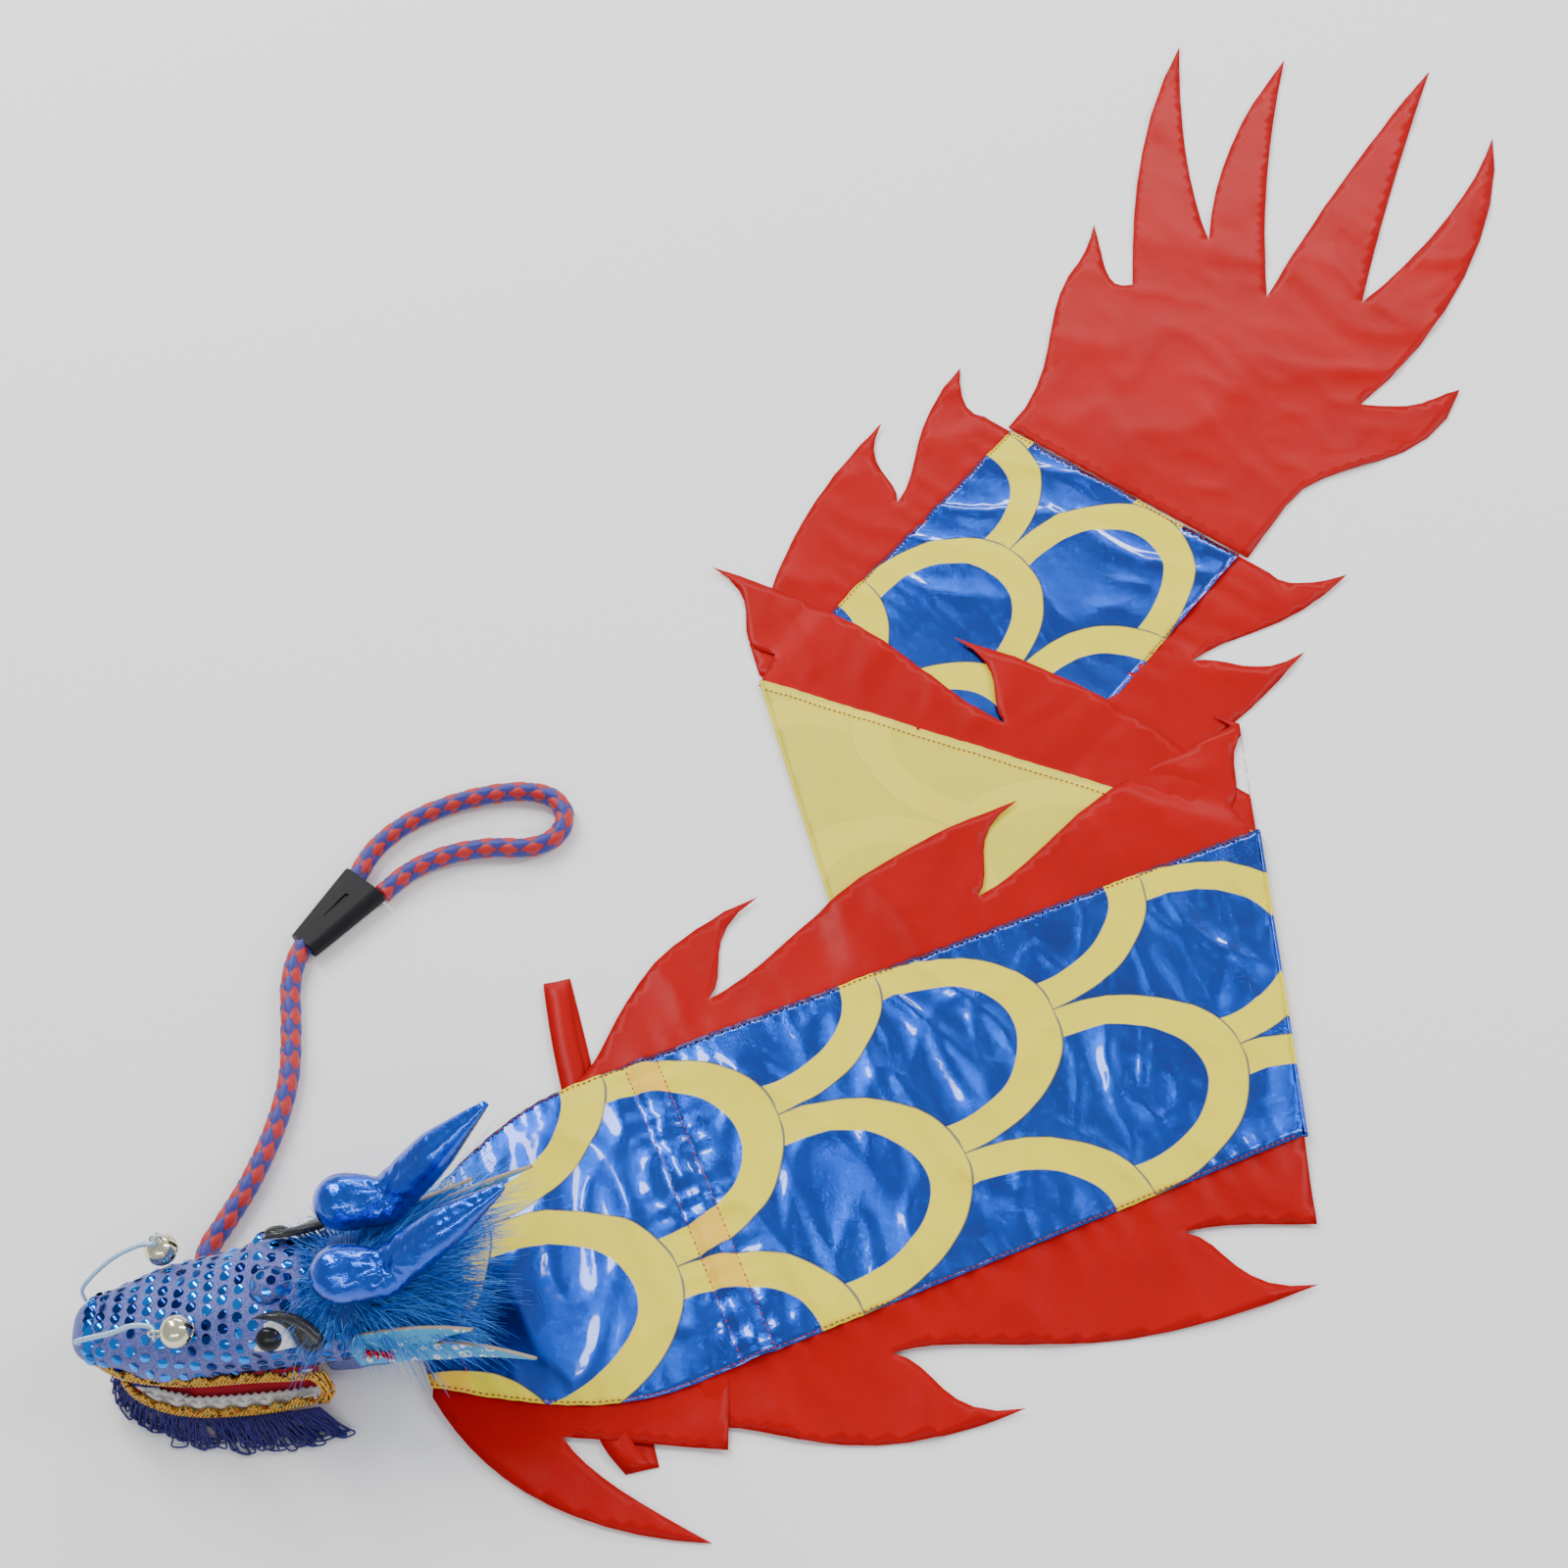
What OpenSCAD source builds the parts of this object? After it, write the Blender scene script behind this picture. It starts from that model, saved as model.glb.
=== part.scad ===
// Dragon streamer: a stuffed dragon head on a ribbon body with flame fins, a flame tail and a rope leash.
// It lies folded in a Z on the floor. +Z is up, and the origin is on the floor under the middle of the rear
// length, which lies lowest. Lengths in millimetres, angles in degrees.

/* [Ribbon body] */
// Width of the printed ribbon between its two edge seams
ribbon_w = 200; // [180:5:210]
// Length of the front length, from the neck to the first fold
front_len = 571; // [540:1:600]
// Length of the middle length, between the two folds
middle_len = 316; // [300:1:330]
// Length of the rear length, from the second fold to the tail seam
rear_len = 373; // [350:1:390]
// Thickness that each cloth layer fills
cloth_t = 1.6; // [1.2:0.1:1.8]
// Width of the ribbon where it is sewn to the head
neck_w = 90; // [80:5:100]

/* [Folded layout] */
// Direction in which the front length runs, measured from +X
front_heading = 20; // [16:1:24]
// Direction in which the middle length runs back
middle_heading = 156; // [152:1:160]
// Direction in which the rear length and the tail run
rear_heading = 49; // [45:1:53]
// Height of one folded layer above the one below it
layer_rise = 3; // [2.8:0.1:3.4]

/* [Flame fins] */
// Distance from one flame to the next along an edge
flame_pitch = 185; // [175:1:195]
// Height of a flame's tip above the seam
flame_h = 82; // [70:1:86]
// Height of the fin at its notches
notch_h = 25; // [20:1:30]
// How far a tip leans past its notch towards the tail
flame_lean = 56; // [45:1:60]
// Thickness that a satin fin fills
satin_t = 1.2; // [1:0.1:1.4]

/* [Head] */
// Length of the head from the neck to the nose
head_len = 175; // [170:1:180]
// Half of the head's width at the upper lip
lip_half_w = 33; // [31:0.5:34]
// Height of the mouth's roof in the head's own frame
palate_z = 33; // [32.5:0.5:34]
// Turn of the head, so that the snout points towards -X
head_heading = 184; // [182:1:186]
// Lean of the head onto its right cheek
head_roll = 8; // [6:1:9]
// Diameter of a jingle bell
bell_d = 18; // [17:0.5:18.5]

/* [Leash] */
// Diameter of the round braided rope
rope_d = 13; // [12:0.5:13]

/* [Hidden] */

satin_red = "#E8262B";
foil_blue = "#0B4FB4";
back_yellow = "#EBE977";
cover_blue = "#7E8ED0";
trim_gold = "#C8921E";
indigo = "#1F1B6B";

half_w = ribbon_w / 2;
clear = 0.4;
seam_gap = 1;

// Layers of the folded ribbon
rear_z = 0;
middle_z = layer_rise;
front_z = 2 * layer_rise;

// Folds: each fold line halves the angle between the two lengths that it joins
function dir(a) = [cos(a), sin(a)];
fold_front_angle = (front_heading + middle_heading) / 2;
fold_rear_angle = (middle_heading + rear_heading) / 2;
fold_rear_at = -rear_len / 2 * dir(rear_heading);
fold_front_at = fold_rear_at - middle_len * dir(middle_heading);
neck_at = fold_front_at - front_len * dir(front_heading);

// Along-ribbon place of a fold line at sideways place v, in the frame of a length that meets it
function fold_u(v, fold_angle, heading) = v / tan(fold_angle - heading);

// Curves
function arc_pts(a, ctrl, b, n) =
  [for (i = [1:n]) let (t = i / n) (1 - t) * (1 - t) * a + 2 * t * (1 - t) * ctrl + t * t * b];
function s_pts(a, c1, c2, b, n) =
  [for (i = [1:n]) let (t = i / n, s = 1 - t)
    s * s * s * a + 3 * s * s * t * c1 + 3 * s * t * t * c2 + t * t * t * b];

// One flame from its starting notch at u0 to the notch at u1, heights above the seam
function flame_pts(u0, h0, u1) =
  let (tip = [u1 + flame_lean, flame_h], notch = [u1, notch_h], run = u1 - u0)
  concat(
    s_pts([u0, h0], [u0 + 0.30 * run, h0 + 6], [u0 + 0.52 * run, flame_h], tip, 12),
    s_pts(tip, [u1 + 8, flame_h - 12], [u1 + 22, notch_h + 14], notch, 8)
  );

// A row of flames: the first starts at u_start with height h_start, and the notches follow
function flame_row(u_start, h_start, notches) =
  concat([[u_start, h_start]],
    [for (i = [0:len(notches) - 1])
      each flame_pts(i == 0 ? u_start : notches[i - 1], i == 0 ? h_start : notch_h, notches[i])]);

// Frames of the three lengths: u runs along the ribbon, v to its left, w up
module front_frame() {
  translate([fold_front_at.x, fold_front_at.y, front_z]) rotate(front_heading) children();
}
module middle_frame() {
  translate([fold_front_at.x, fold_front_at.y, middle_z]) rotate(middle_heading) children();
}
module rear_frame() { translate([fold_rear_at.x, fold_rear_at.y, rear_z]) rotate(rear_heading) children(); }
// Tail frame starts at the tail seam
module tail_frame() { rear_frame() translate([rear_len, 0, 0]) children(); }
// Head frame: x forward along the snout, y to the left, z up, from the middle of the neck
head_lift = 5;
head_shift = 8;
jaw_shift = 14;
jaw_lift = 13;
jaw_droop = 6;
module head_floor_frame() { translate([neck_at.x, neck_at.y, 0]) rotate(head_heading) children(); }
module head_frame() {
  head_floor_frame() translate([0, head_shift, head_lift]) rotate([head_roll, 0, 0]) children();
}
// The jaw hangs down to the head's left
module jaw_frame() {
  head_floor_frame() translate([0, jaw_shift, jaw_lift]) rotate([-jaw_droop, 0, 0]) children();
}

// ---------------------------------------------------------------- ribbon lengths
front_fold_rel = fold_u(half_w, fold_front_angle, front_heading);
middle_fold_rel = fold_u(half_w, fold_front_angle, middle_heading);
rear_fold_rel = fold_u(half_w, fold_rear_angle, rear_heading);
middle_end_rel = fold_u(half_w, fold_rear_angle, middle_heading);
neck_u = -front_len + 6;
taper_u = -430;

module rear_panel() {
  color(foil_blue) rear_frame() linear_extrude(cloth_t)
    polygon([[-rear_fold_rel, -half_w], [rear_len - seam_gap, -half_w],
             [rear_len - seam_gap, half_w], [rear_fold_rel, half_w]]);
}

module middle_panel() {
  color(back_yellow) middle_frame() linear_extrude(cloth_t)
    polygon([[-middle_fold_rel, -half_w], [middle_len - middle_end_rel, -half_w],
             [middle_len + middle_end_rel, half_w], [middle_fold_rel, half_w]]);
}

function neck_side(side) =
  [for (i = [0:8]) let (t = i / 8)
    [neck_u + t * (taper_u - neck_u), side * (neck_w / 2 + (half_w - neck_w / 2) * sin(90 * t))]];

module front_outline() {
  polygon(concat(neck_side(-1), [[-front_fold_rel, -half_w], [front_fold_rel, half_w]],
                 [for (i = [8:-1:0]) neck_side(1)[i]]));
}

hoop_u = -399;
casing_w = 20;
casing_t = 5;
stay_w = 12;
stay_t = 1.6;
casing_floor = 1.2;
neck_casing_u = neck_u + 1;

// A sewn channel across the ribbon, with room inside for its flat stay
module casing(u0, span) {
  translate([u0, -span / 2, cloth_t]) difference() {
    cube([casing_w, span, casing_t]);
    translate([(casing_w - stay_w) / 2 - clear, clear, casing_floor])
      cube([stay_w + 2 * clear, span - 2 * clear, stay_t + 2 * clear]);
  }
}
module stay(u0, span) {
  translate([u0 + (casing_w - stay_w) / 2, -span / 2 + 2, cloth_t + casing_floor + clear])
    cube([stay_w, span - 4, stay_t]);
}

module front_panel() { color(foil_blue) front_frame() linear_extrude(cloth_t) front_outline(); }
module neck_casing() { color(foil_blue) front_frame() casing(neck_casing_u, neck_w - 2); }
module neck_stay() { color("ivory") front_frame() stay(neck_casing_u, neck_w - 2); }
module hoop_casing() { color(foil_blue) front_frame() casing(hoop_u, ribbon_w - 2); }
module hoop_stay() { color("ivory") front_frame() stay(hoop_u, ribbon_w - 2); }

// ---------------------------------------------------------------- flame fins
// A fin hangs from its seam line and droops outwards; side is 1 on the left edge and -1 on the right
module fin(side, droop, outline) {
  translate([0, side * (half_w + 0.2), 0]) rotate([-side * droop, 0, 0])
    linear_extrude(satin_t)
      polygon([for (p = outline) [p.x, side * p.y]]);
}

left_notch = -149;
right_notch = -134;
// The lower fins droop until their tips lie on the floor
front_droop = asin((front_z - 0.3) / flame_h);
middle_droop = asin((middle_z - 0.3) / flame_h);

// Keeps what lies before (-1) or after (1) a fold line that crosses a length at at_u
module cut_at_fold(fold_angle, heading, at_u, keep) {
  reach = 700;
  line = fold_angle - heading;
  intersection() {
    children();
    translate([at_u, 0, -50]) rotate(line > 0 ? line - 90 : line + 90)
      translate([keep < 0 ? -reach : clear, -reach, 0]) cube([reach - clear, 2 * reach, 100]);
  }
}

module front_upper_fin() {
  row = flame_row(taper_u, 2, [left_notch - flame_pitch, left_notch, left_notch + flame_pitch]);
  color(satin_red) front_frame() cut_at_fold(fold_front_angle, front_heading, 0, -1)
    fin(1, 0, concat(row, [[left_notch + flame_pitch, 0], [taper_u, 0]]));
}

// The first flame stands on the tapered edge beside the neck; its root clears the bulge of that edge
taper_run = taper_u - neck_u;
taper_rise = (ribbon_w - neck_w) / 2;
taper_len = norm([taper_run, taper_rise]);
module neck_flame() {
  tip = [158, flame_h];
  notch = [74, notch_h];
  outline = concat([[0, 3]],
    s_pts([0, 3], [25, 40], [70, 78], tip, 12),
    s_pts(tip, [120, 62], [88, 45], notch, 8),
    [[taper_len + 20, notch_h + 8], [taper_len + 20, 0]],
    [for (root = [[0.75, 8], [0.5, 9.5], [0.25, 6], [0, 0]]) [root.x * taper_len, root.y]]);
  translate([neck_u, -neck_w / 2 - 2, 0]) rotate(-atan2(taper_rise, taper_run))
    rotate([front_droop, 0, 0]) linear_extrude(satin_t) polygon([for (p = outline) [p.x, -p.y]]);
}

module front_lower_fin() {
  row = flame_row(taper_u, notch_h, [right_notch - flame_pitch, right_notch, right_notch + flame_pitch]);
  color(satin_red) front_frame() {
    cut_at_fold(fold_front_angle, front_heading, 0, -1)
      fin(-1, front_droop, concat(row, [[right_notch + flame_pitch, 0], [taper_u, 0]]));
    neck_flame();
  }
}

// Middle length lies reverse side up, so the ribbon's left edge is on its right
module middle_upper_fin() {
  notches = [for (k = [1:3]) left_notch + k * flame_pitch];
  row = flame_row(left_notch, notch_h, notches);
  color(satin_red) middle_frame() cut_at_fold(fold_front_angle, middle_heading, 0, 1)
    fin(-1, 0, concat(row, [[middle_len - middle_end_rel + clear, notch_h],
                            [middle_len - middle_end_rel, 0], [left_notch, 0]]));
}

// Starts low at the fold, so that it stays under the front length
module middle_lower_fin() {
  first = -middle_fold_rel + 2;
  notches = [for (k = [1:2]) right_notch + k * flame_pitch];
  row = flame_row(first, 2, notches);
  color(satin_red) middle_frame() cut_at_fold(fold_rear_angle, middle_heading, middle_len, -1)
    fin(1, middle_droop, concat(row, [[notches[1], 0], [first, 0]]));
}

// The last flames are cut short by the tail seam
end_flame_h = 70;
module rear_fin(side, last_notch) {
  tip = [rear_len + 30, end_flame_h];
  start = last_notch - flame_pitch;
  row = flame_row(start, notch_h, [last_notch]);
  outline = concat(row,
    s_pts([last_notch, notch_h], [last_notch + 40, notch_h + 5], [last_notch + 60, notch_h + 40], tip, 8),
    arc_pts(tip, [rear_len - 10, notch_h + 20], [rear_len - seam_gap, notch_h], 5),
    [[rear_len - seam_gap, 0], [start, 0]]);
  rear_frame() cut_at_fold(fold_rear_angle, rear_heading, 0, 1) fin(side, 0, outline);
}
module rear_left_fin() { color(satin_red) rear_fin(1, 263); }
module rear_right_fin() { color(satin_red) rear_fin(-1, 270); }

// ---------------------------------------------------------------- tail
// Prongs in the tail's frame: each tip with the notch that follows it
module tail_flame() {
  outline = concat(
    [[seam_gap, 104]],
    s_pts([seam_gap, 104], [70, 104], [110, 150], [165, 162], 6),
    arc_pts([165, 162], [200, 165], [228, 180], 4),
    s_pts([228, 180], [200, 150], [165, 130], [188, 116], 8),
    s_pts([188, 116], [225, 140], [330, 215], [463, 249], 8),
    arc_pts([463, 249], [330, 165], [267, 95], 6),
    arc_pts([267, 95], [370, 155], [501, 166], 6),
    arc_pts([501, 166], [350, 100], [240, 24], 6),
    arc_pts([240, 24], [400, 52], [565, 60], 6),
    arc_pts([565, 60], [390, 5], [278, -39], 6),
    arc_pts([278, -39], [420, -55], [518, -25], 6),
    s_pts([518, -25], [430, -85], [280, -110], [183, -93], 8),
    s_pts([183, -93], [205, -135], [220, -130], [241, -145], 6),
    s_pts([241, -145], [150, -175], [120, -95], [60, -102], 8),
    [[seam_gap, -106]]);
  color(satin_red) tail_frame() linear_extrude(satin_t) polygon(outline);
}

// ---------------------------------------------------------------- strap under the front length
strap_top = [-416, 175];
strap_bottom = [-470, -132];
strap_w = 16;
strap_band_t = 1;
strap_h = 3.4;
// A flattened loop of satin tape: two bands that meet at its ends
module under_strap() {
  run = strap_top - strap_bottom;
  strap_len = norm(run);
  color(satin_red) front_frame() translate([strap_bottom.x, strap_bottom.y, 0.4 - front_z])
    rotate(atan2(run.y, run.x)) translate([0, -strap_w / 2, 0]) difference() {
      cube([strap_len, strap_w, strap_h]);
      translate([strap_band_t + 4, -1, strap_band_t])
        cube([strap_len - 2 * strap_band_t - 8, strap_w + 2, strap_h - 2 * strap_band_t]);
    }
}

// ---------------------------------------------------------------- head
$fn = 32;

// The head's smooth outer form, grown by g, and the same form cut off at the mouth's roof
nape_r = 22;
brow_r = 24;
cheek_r = 20;
nose_r = 12;
function brow_at(side) = [54, side * 9, 52];
module head_hull(g) {
  hull() {
    for (side = [-1, 1]) {
      translate([16, side * 10, 46]) sphere(nape_r + g);
      translate(brow_at(side)) sphere(brow_r + g);
      translate([118, side * 12, 40]) sphere(cheek_r + g);
      translate([head_len - nose_r - 5, side * 5, 42]) sphere(nose_r + g);
    }
  }
}
module head_form(g) {
  difference() {
    head_hull(g);
    translate([-100, -100, palate_z - 100]) cube([400, 200, 100]);
  }
}

pocket_front = 146;
pocket_back = 56;
pocket_half = 23;
pocket_h = 8;
// Firm foam core, hollowed over the mouth so that the lower jaw can close
module head_core() {
  color("white") head_frame() difference() {
    head_form(0);
    translate([pocket_back, -pocket_half, palate_z - 1])
      cube([pocket_front - pocket_back, 2 * pocket_half, pocket_h + 1]);
  }
}

cover_t = 1.2;
module head_cover() {
  color(cover_blue) head_frame() difference() {
    head_form(cover_t + 0.1);
    head_form(0.1);
  }
}

pad_half = 24;
pad_len = 38;
module throat_pad() {
  color(cover_blue) head_floor_frame() difference() {
    translate([1.5, 1 - pad_half, 0]) cube([pad_len, 2 * pad_half - 1, palate_z]);
    translate([0, head_shift, head_lift]) rotate([head_roll, 0, 0])
      translate([-20, -60, palate_z - 2.5]) cube([120, 120, 40]);
  }
}

// Plan of the mouth: straight cheeks and a round chin
module mouth_plan(half, x0, x1) {
  chin_r = half * 0.72;
  hull() {
    translate([x0, -half]) square([1, 2 * half]);
    translate([x1 - chin_r, 0]) circle(chin_r);
    translate([x0 + (x1 - x0) * 0.6, 0]) square([1, 2 * half * 0.92], center = true);
  }
}

lining_t = 2;
module palate_lining() {
  color("#DA3B52") head_frame()
    translate([pocket_back + clear, -pocket_half + clear, palate_z + pocket_h - lining_t - 0.1])
      cube([pocket_front - pocket_back - 2 * clear, 2 * (pocket_half - clear), lining_t]);
}

// Pinked teeth standing along both cheeks; point is 1 upwards and -1 downwards
teeth_t = 1.2;
module teeth_band(half, z, point) {
  tooth = 6;
  count = 12;
  for (side = [-1, 1])
    translate([62, side * half, z]) rotate([90, 0, 0])
      linear_extrude(teeth_t, center = true)
        polygon(concat([[0, -point * 2]], [for (i = [0:2 * count]) [i * tooth / 2, (i % 2) * point * 5]],
                       [[count * tooth, -point * 2]]));
}
module upper_teeth() { color("white") head_frame() teeth_band(24.8, palate_z - 2.1, -1); }

trim_w = 3;
module lip_band(half, x0, x1, z, h) {
  translate([0, 0, z]) linear_extrude(h) difference() {
    mouth_plan(half + trim_w, x0, x1 + trim_w);
    mouth_plan(half, x0, x1);
    translate([x0 - 1, -half]) square([2, 2 * half]);
  }
}
module upper_lip_trim() {
  color(trim_gold) head_frame() lip_band(lip_half_w - 1.5, jaw_back, head_len - 10, palate_z - 5.2, 5);
}

// Eyes lie flat against the cover beside the brow; eye frame: x towards the snout, z outwards
eye_turn = 50;
eye_seat = brow_r + cover_t + 0.25;
module eye_frame(side) {
  head_frame() translate(brow_at(side)) rotate([-side * eye_turn, 0, 0])
    translate([0, 0, eye_seat]) children();
}
eye_t = 1.2;
module eye_white(side) {
  color("white") eye_frame(side) linear_extrude(eye_t)
    polygon([for (p = [[-14, -8], [14, -5], [9, 9], [-9, 10]]) [p.x, -side * p.y]]);
}
pupil_r = 8;
pupil_h = 5;
module pupil(side) {
  color("black") eye_frame(side) translate([1, 0, eye_t]) intersection() {
    translate([0, 0, pupil_h - pupil_r]) sphere(pupil_r);
    cylinder(r = pupil_r, h = pupil_h);
  }
}
module eyelid(side) {
  outline = concat([[-20, 12]], arc_pts([-20, 12], [0, 17], [17, 11], 6),
                   [[13, 9]], arc_pts([13, 9], [0, 13], [-18, 8], 6));
  color("#2A2A2A") eye_frame(side) translate([0, 0, eye_t]) linear_extrude(2)
    polygon([for (p = outline) [p.x, -side * p.y]]);
}
module left_eye_white() eye_white(1);
module right_eye_white() eye_white(-1);
module left_pupil() pupil(1);
module right_pupil() pupil(-1);
module left_eyelid() eyelid(1);
module right_eyelid() eyelid(-1);

// Horns stand in the mane; horn_foot is the centre of a horn's round foot
horn_x = -8;
horn_y = 22;
horn_z = 90;
horn_mid_y = -10;
horn_foot_r = 14;
function horn_foot(side) = [horn_x, horn_mid_y + side * horn_y, horn_z];

// Mane over the back of the head: a thick cap that carries the horns and stays between the cheek fins
mane_t = 5;
mane_front = 28;
mane_back = -40;
mane_low_z = 62;
mane_half = 28;
mane_h = 60;
module fur_mane() {
  color("#2F8FE8") head_frame() intersection() {
    difference() {
      head_hull(mane_t);
      head_hull(cover_t + 0.4);
    }
    translate([mane_back, -mane_half, mane_low_z]) cube([mane_front - mane_back, 2 * mane_half, mane_h]);
  }
}

// Stuffed horn: a round front lobe and a spike that sweeps back; tip gives the spike's end
lobe_r = 14;
lobe_reach = 24;
lobe_rise = 5;
waist_r = 12;
tip_r = 3;
module horn(side, tip) {
  foot = horn_foot(side);
  waist = (tip + foot + [0, 0, 4]) / 2;
  color("#1350C8") head_frame() union() {
    hull() {
      translate(foot) sphere(horn_foot_r);
      translate(foot + [lobe_reach, 0, lobe_rise]) sphere(lobe_r);
    }
    hull() {
      translate(foot) sphere(horn_foot_r);
      translate(waist) sphere(waist_r);
    }
    hull() {
      translate(waist) sphere(waist_r);
      translate(tip) sphere(tip_r);
    }
  }
}
module left_horn() horn(1, [-78, -6, 134]);
module right_horn() horn(-1, [-70, -53, 142]);

// Cheek fin: a flat foam flame that sweeps back and outwards from the cheek
cheek_root = [12, 38, 42];
cheek_turn = 13;
cheek_tilt = 6;
cheek_lean = 12;
cheek_t = 2.4;
bow_t = 3;
module cheek_frame(side) {
  head_frame() translate([cheek_root.x, side * cheek_root.y, cheek_root.z])
    rotate([0, cheek_tilt, -side * cheek_turn]) rotate([side * cheek_lean, 0, 0]) children();
}
module cheek_fin(side) {
  outline = concat([[0, 0]],
    arc_pts([0, 0], [6, 12], [-2, 24], 5),
    arc_pts([-2, 24], [-30, 34], [-70, 33], 5),
    arc_pts([-70, 33], [-50, 26], [-46, 20], 4),
    arc_pts([-46, 20], [-70, 24], [-102, 14], 5),
    arc_pts([-102, 14], [-66, 14], [-52, 8], 4),
    arc_pts([-52, 8], [-20, 6], [0, 0], 5));
  color("#62B3D8") cheek_frame(side) rotate([90, 0, 0])
    linear_extrude(cheek_t, center = true) polygon(outline);
}
module bow(side) {
  color("crimson") cheek_frame(side) translate([-14, side * (cheek_t + bow_t) / 2, 14]) rotate([90, 0, 0])
    linear_extrude(bow_t, center = true)
      polygon([[-9, -6], [-1.5, -1.5], [1.5, -1.5], [9, -6], [9, 6], [1.5, 1.5], [-1.5, 1.5], [-9, 6]]);
}
module left_cheek_fin() cheek_fin(1);
module right_cheek_fin() cheek_fin(-1);
module left_bow() bow(1);
module right_bow() bow(-1);

// ---------------------------------------------------------------- swept cords
// up is a direction that the route never runs along
function unit(v) = v / norm(v);
function tangent(p, i) = unit(p[min(i + 1, len(p) - 1)] - p[max(i - 1, 0)]);
function ring(p, i, r, n, up) =
  let (t = tangent(p, i), s = unit(cross(t, up)), u = cross(s, t))
  [for (k = [0:n - 1]) p[i] + r * (cos(360 * k / n) * s + sin(360 * k / n) * u)];
// Smooth route through hand-chosen points, with k steps between each pair
function spline_at(a, b, c, d, t) =
  0.5 * (2 * b + (c - a) * t + (2 * a - 5 * b + 4 * c - d) * t * t + (3 * b - a - 3 * c + d) * t * t * t);
function smooth_route(p, k) =
  let (n = len(p))
  concat([for (i = [0:n - 2]) for (j = [0:k - 1])
    spline_at(p[max(i - 1, 0)], p[i], p[i + 1], p[min(i + 2, n - 1)], j / k)], [p[n - 1]]);
module swept_tube(p, r, n, up) {
  rings = len(p);
  polyhedron(
    points = [for (i = [0:rings - 1]) each ring(p, i, r, n, up)],
    faces = concat(
      [[for (k = [0:n - 1]) k]],
      [for (i = [0:rings - 2]) for (k = [0:n - 1])
        let (a = i * n + k, b = i * n + (k + 1) % n) each [[a, a + n, b + n], [a, b + n, b]]],
      [[for (k = [n - 1:-1:0]) (rings - 1) * n + k]]),
    convexity = 6);
}

// ---------------------------------------------------------------- feelers and bells
feeler_d = 3;
left_feeler_route = [[163, 13, 54.2], [163, 15, 60], [154, 17, 65.5], [141, 18, 70], [129, 17, 73.5],
                      [119, 19, 73.5], [116.6, 23, 73], [116.6, 26, 73]];
right_feeler_route = [[163, -13, 54.2], [163, -16, 61], [154, -21, 68.5], [142, -26, 74.5], [130, -30, 76],
                       [123, -32, 73], [122, -35, 72.6], [122, -38, 72.6]];
bell_r = bell_d / 2;
bell_t = 0.8;
loop_r = 3.2;
loop_wire_r = 0.7;

module feeler(route) {
  color("#A9CFEA") head_frame() swept_tube(smooth_route(route, 2), feeler_d / 2, 8, [0, 1, 0.3]);
}
module left_feeler() feeler(left_feeler_route);
module right_feeler() feeler(right_feeler_route);

// Round bell with crossed slots at the back; loop_way is where its wire loop stands, forwards or upwards
loop_reach = bell_r + loop_r - 0.6;
module bell(at, loop_way) {
  color("#C9C0A0") head_frame() translate(at) {
    difference() {
      sphere(bell_r);
      sphere(bell_r - bell_t);
      for (a = [0, 90])
        rotate([a, 0, 0]) translate([-bell_r - 1, -1, -bell_r * 0.75]) cube([bell_r * 0.9, 2, bell_r * 1.5]);
    }
    translate(loop_reach * loop_way) rotate([90, 0, 0])
      rotate_extrude() translate([loop_r, 0]) circle(loop_wire_r, $fn = 16);
  }
}
module bell_pea(at) { color("silver") head_frame() translate(at - [0, 0, 5.5]) sphere(2.5); }
left_bell_at = [105, 23, 73];
right_bell_at = [122, -35, 61];
module left_bell() bell(left_bell_at, [1, 0, 0]);
module right_bell() bell(right_bell_at, [0, 0, 1]);
module left_bell_pea() bell_pea(left_bell_at);
module right_bell_pea() bell_pea(right_bell_at);

// ---------------------------------------------------------------- lower jaw
jaw_t = 5;
jaw_front = 152;
jaw_back = 44;
jaw_half = 30;
module lower_jaw() {
  color("#DA3B52") jaw_frame() linear_extrude(jaw_t) mouth_plan(jaw_half, jaw_back, jaw_front);
}
module jaw_lining() {
  color("white") jaw_frame() translate([0, 0, jaw_t + 0.1])
    linear_extrude(1.5) mouth_plan(jaw_half - 6, jaw_back + 4, jaw_front - 4);
}
module lower_teeth() { color("white") jaw_frame() teeth_band(jaw_half - 4.4, jaw_t + 2.1, 1); }
module lower_lip_trim() {
  color(trim_gold) jaw_frame() lip_band(jaw_half + 0.1, jaw_back, jaw_front, 0.5, 4);
}
yarn_r = 2.5;
module mouth_yarn() {
  color(indigo) jaw_frame() translate([jaw_front - 22, 0, jaw_t + 2 + yarn_r]) hull() {
    for (at = [[0, -8, 0], [0, 8, 0], [10, 0, 0]]) translate(at) sphere(yarn_r, $fn = 16);
  }
}
// Yarn fringe: a skirt round the jaw that reaches the floor, lifted on the right where the leash passes
fringe_t = 5;
fringe_gap = trim_w + 0.6;
leash_gate_z = 15;
module beard_fringe() {
  fringe_half = jaw_half + fringe_gap;
  color(indigo) difference() {
    jaw_frame() translate([0, 0, -20]) linear_extrude(21) difference() {
      mouth_plan(fringe_half + fringe_t, jaw_back + 20, jaw_front + fringe_gap + fringe_t);
      mouth_plan(fringe_half, jaw_back, jaw_front + fringe_gap);
    }
    head_floor_frame() translate([-50, -120, -60]) cube([300, 240, 60.5]);
    head_floor_frame() translate([30, -100, -1]) cube([130, 100, leash_gate_z + 1]);
  }
}

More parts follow.
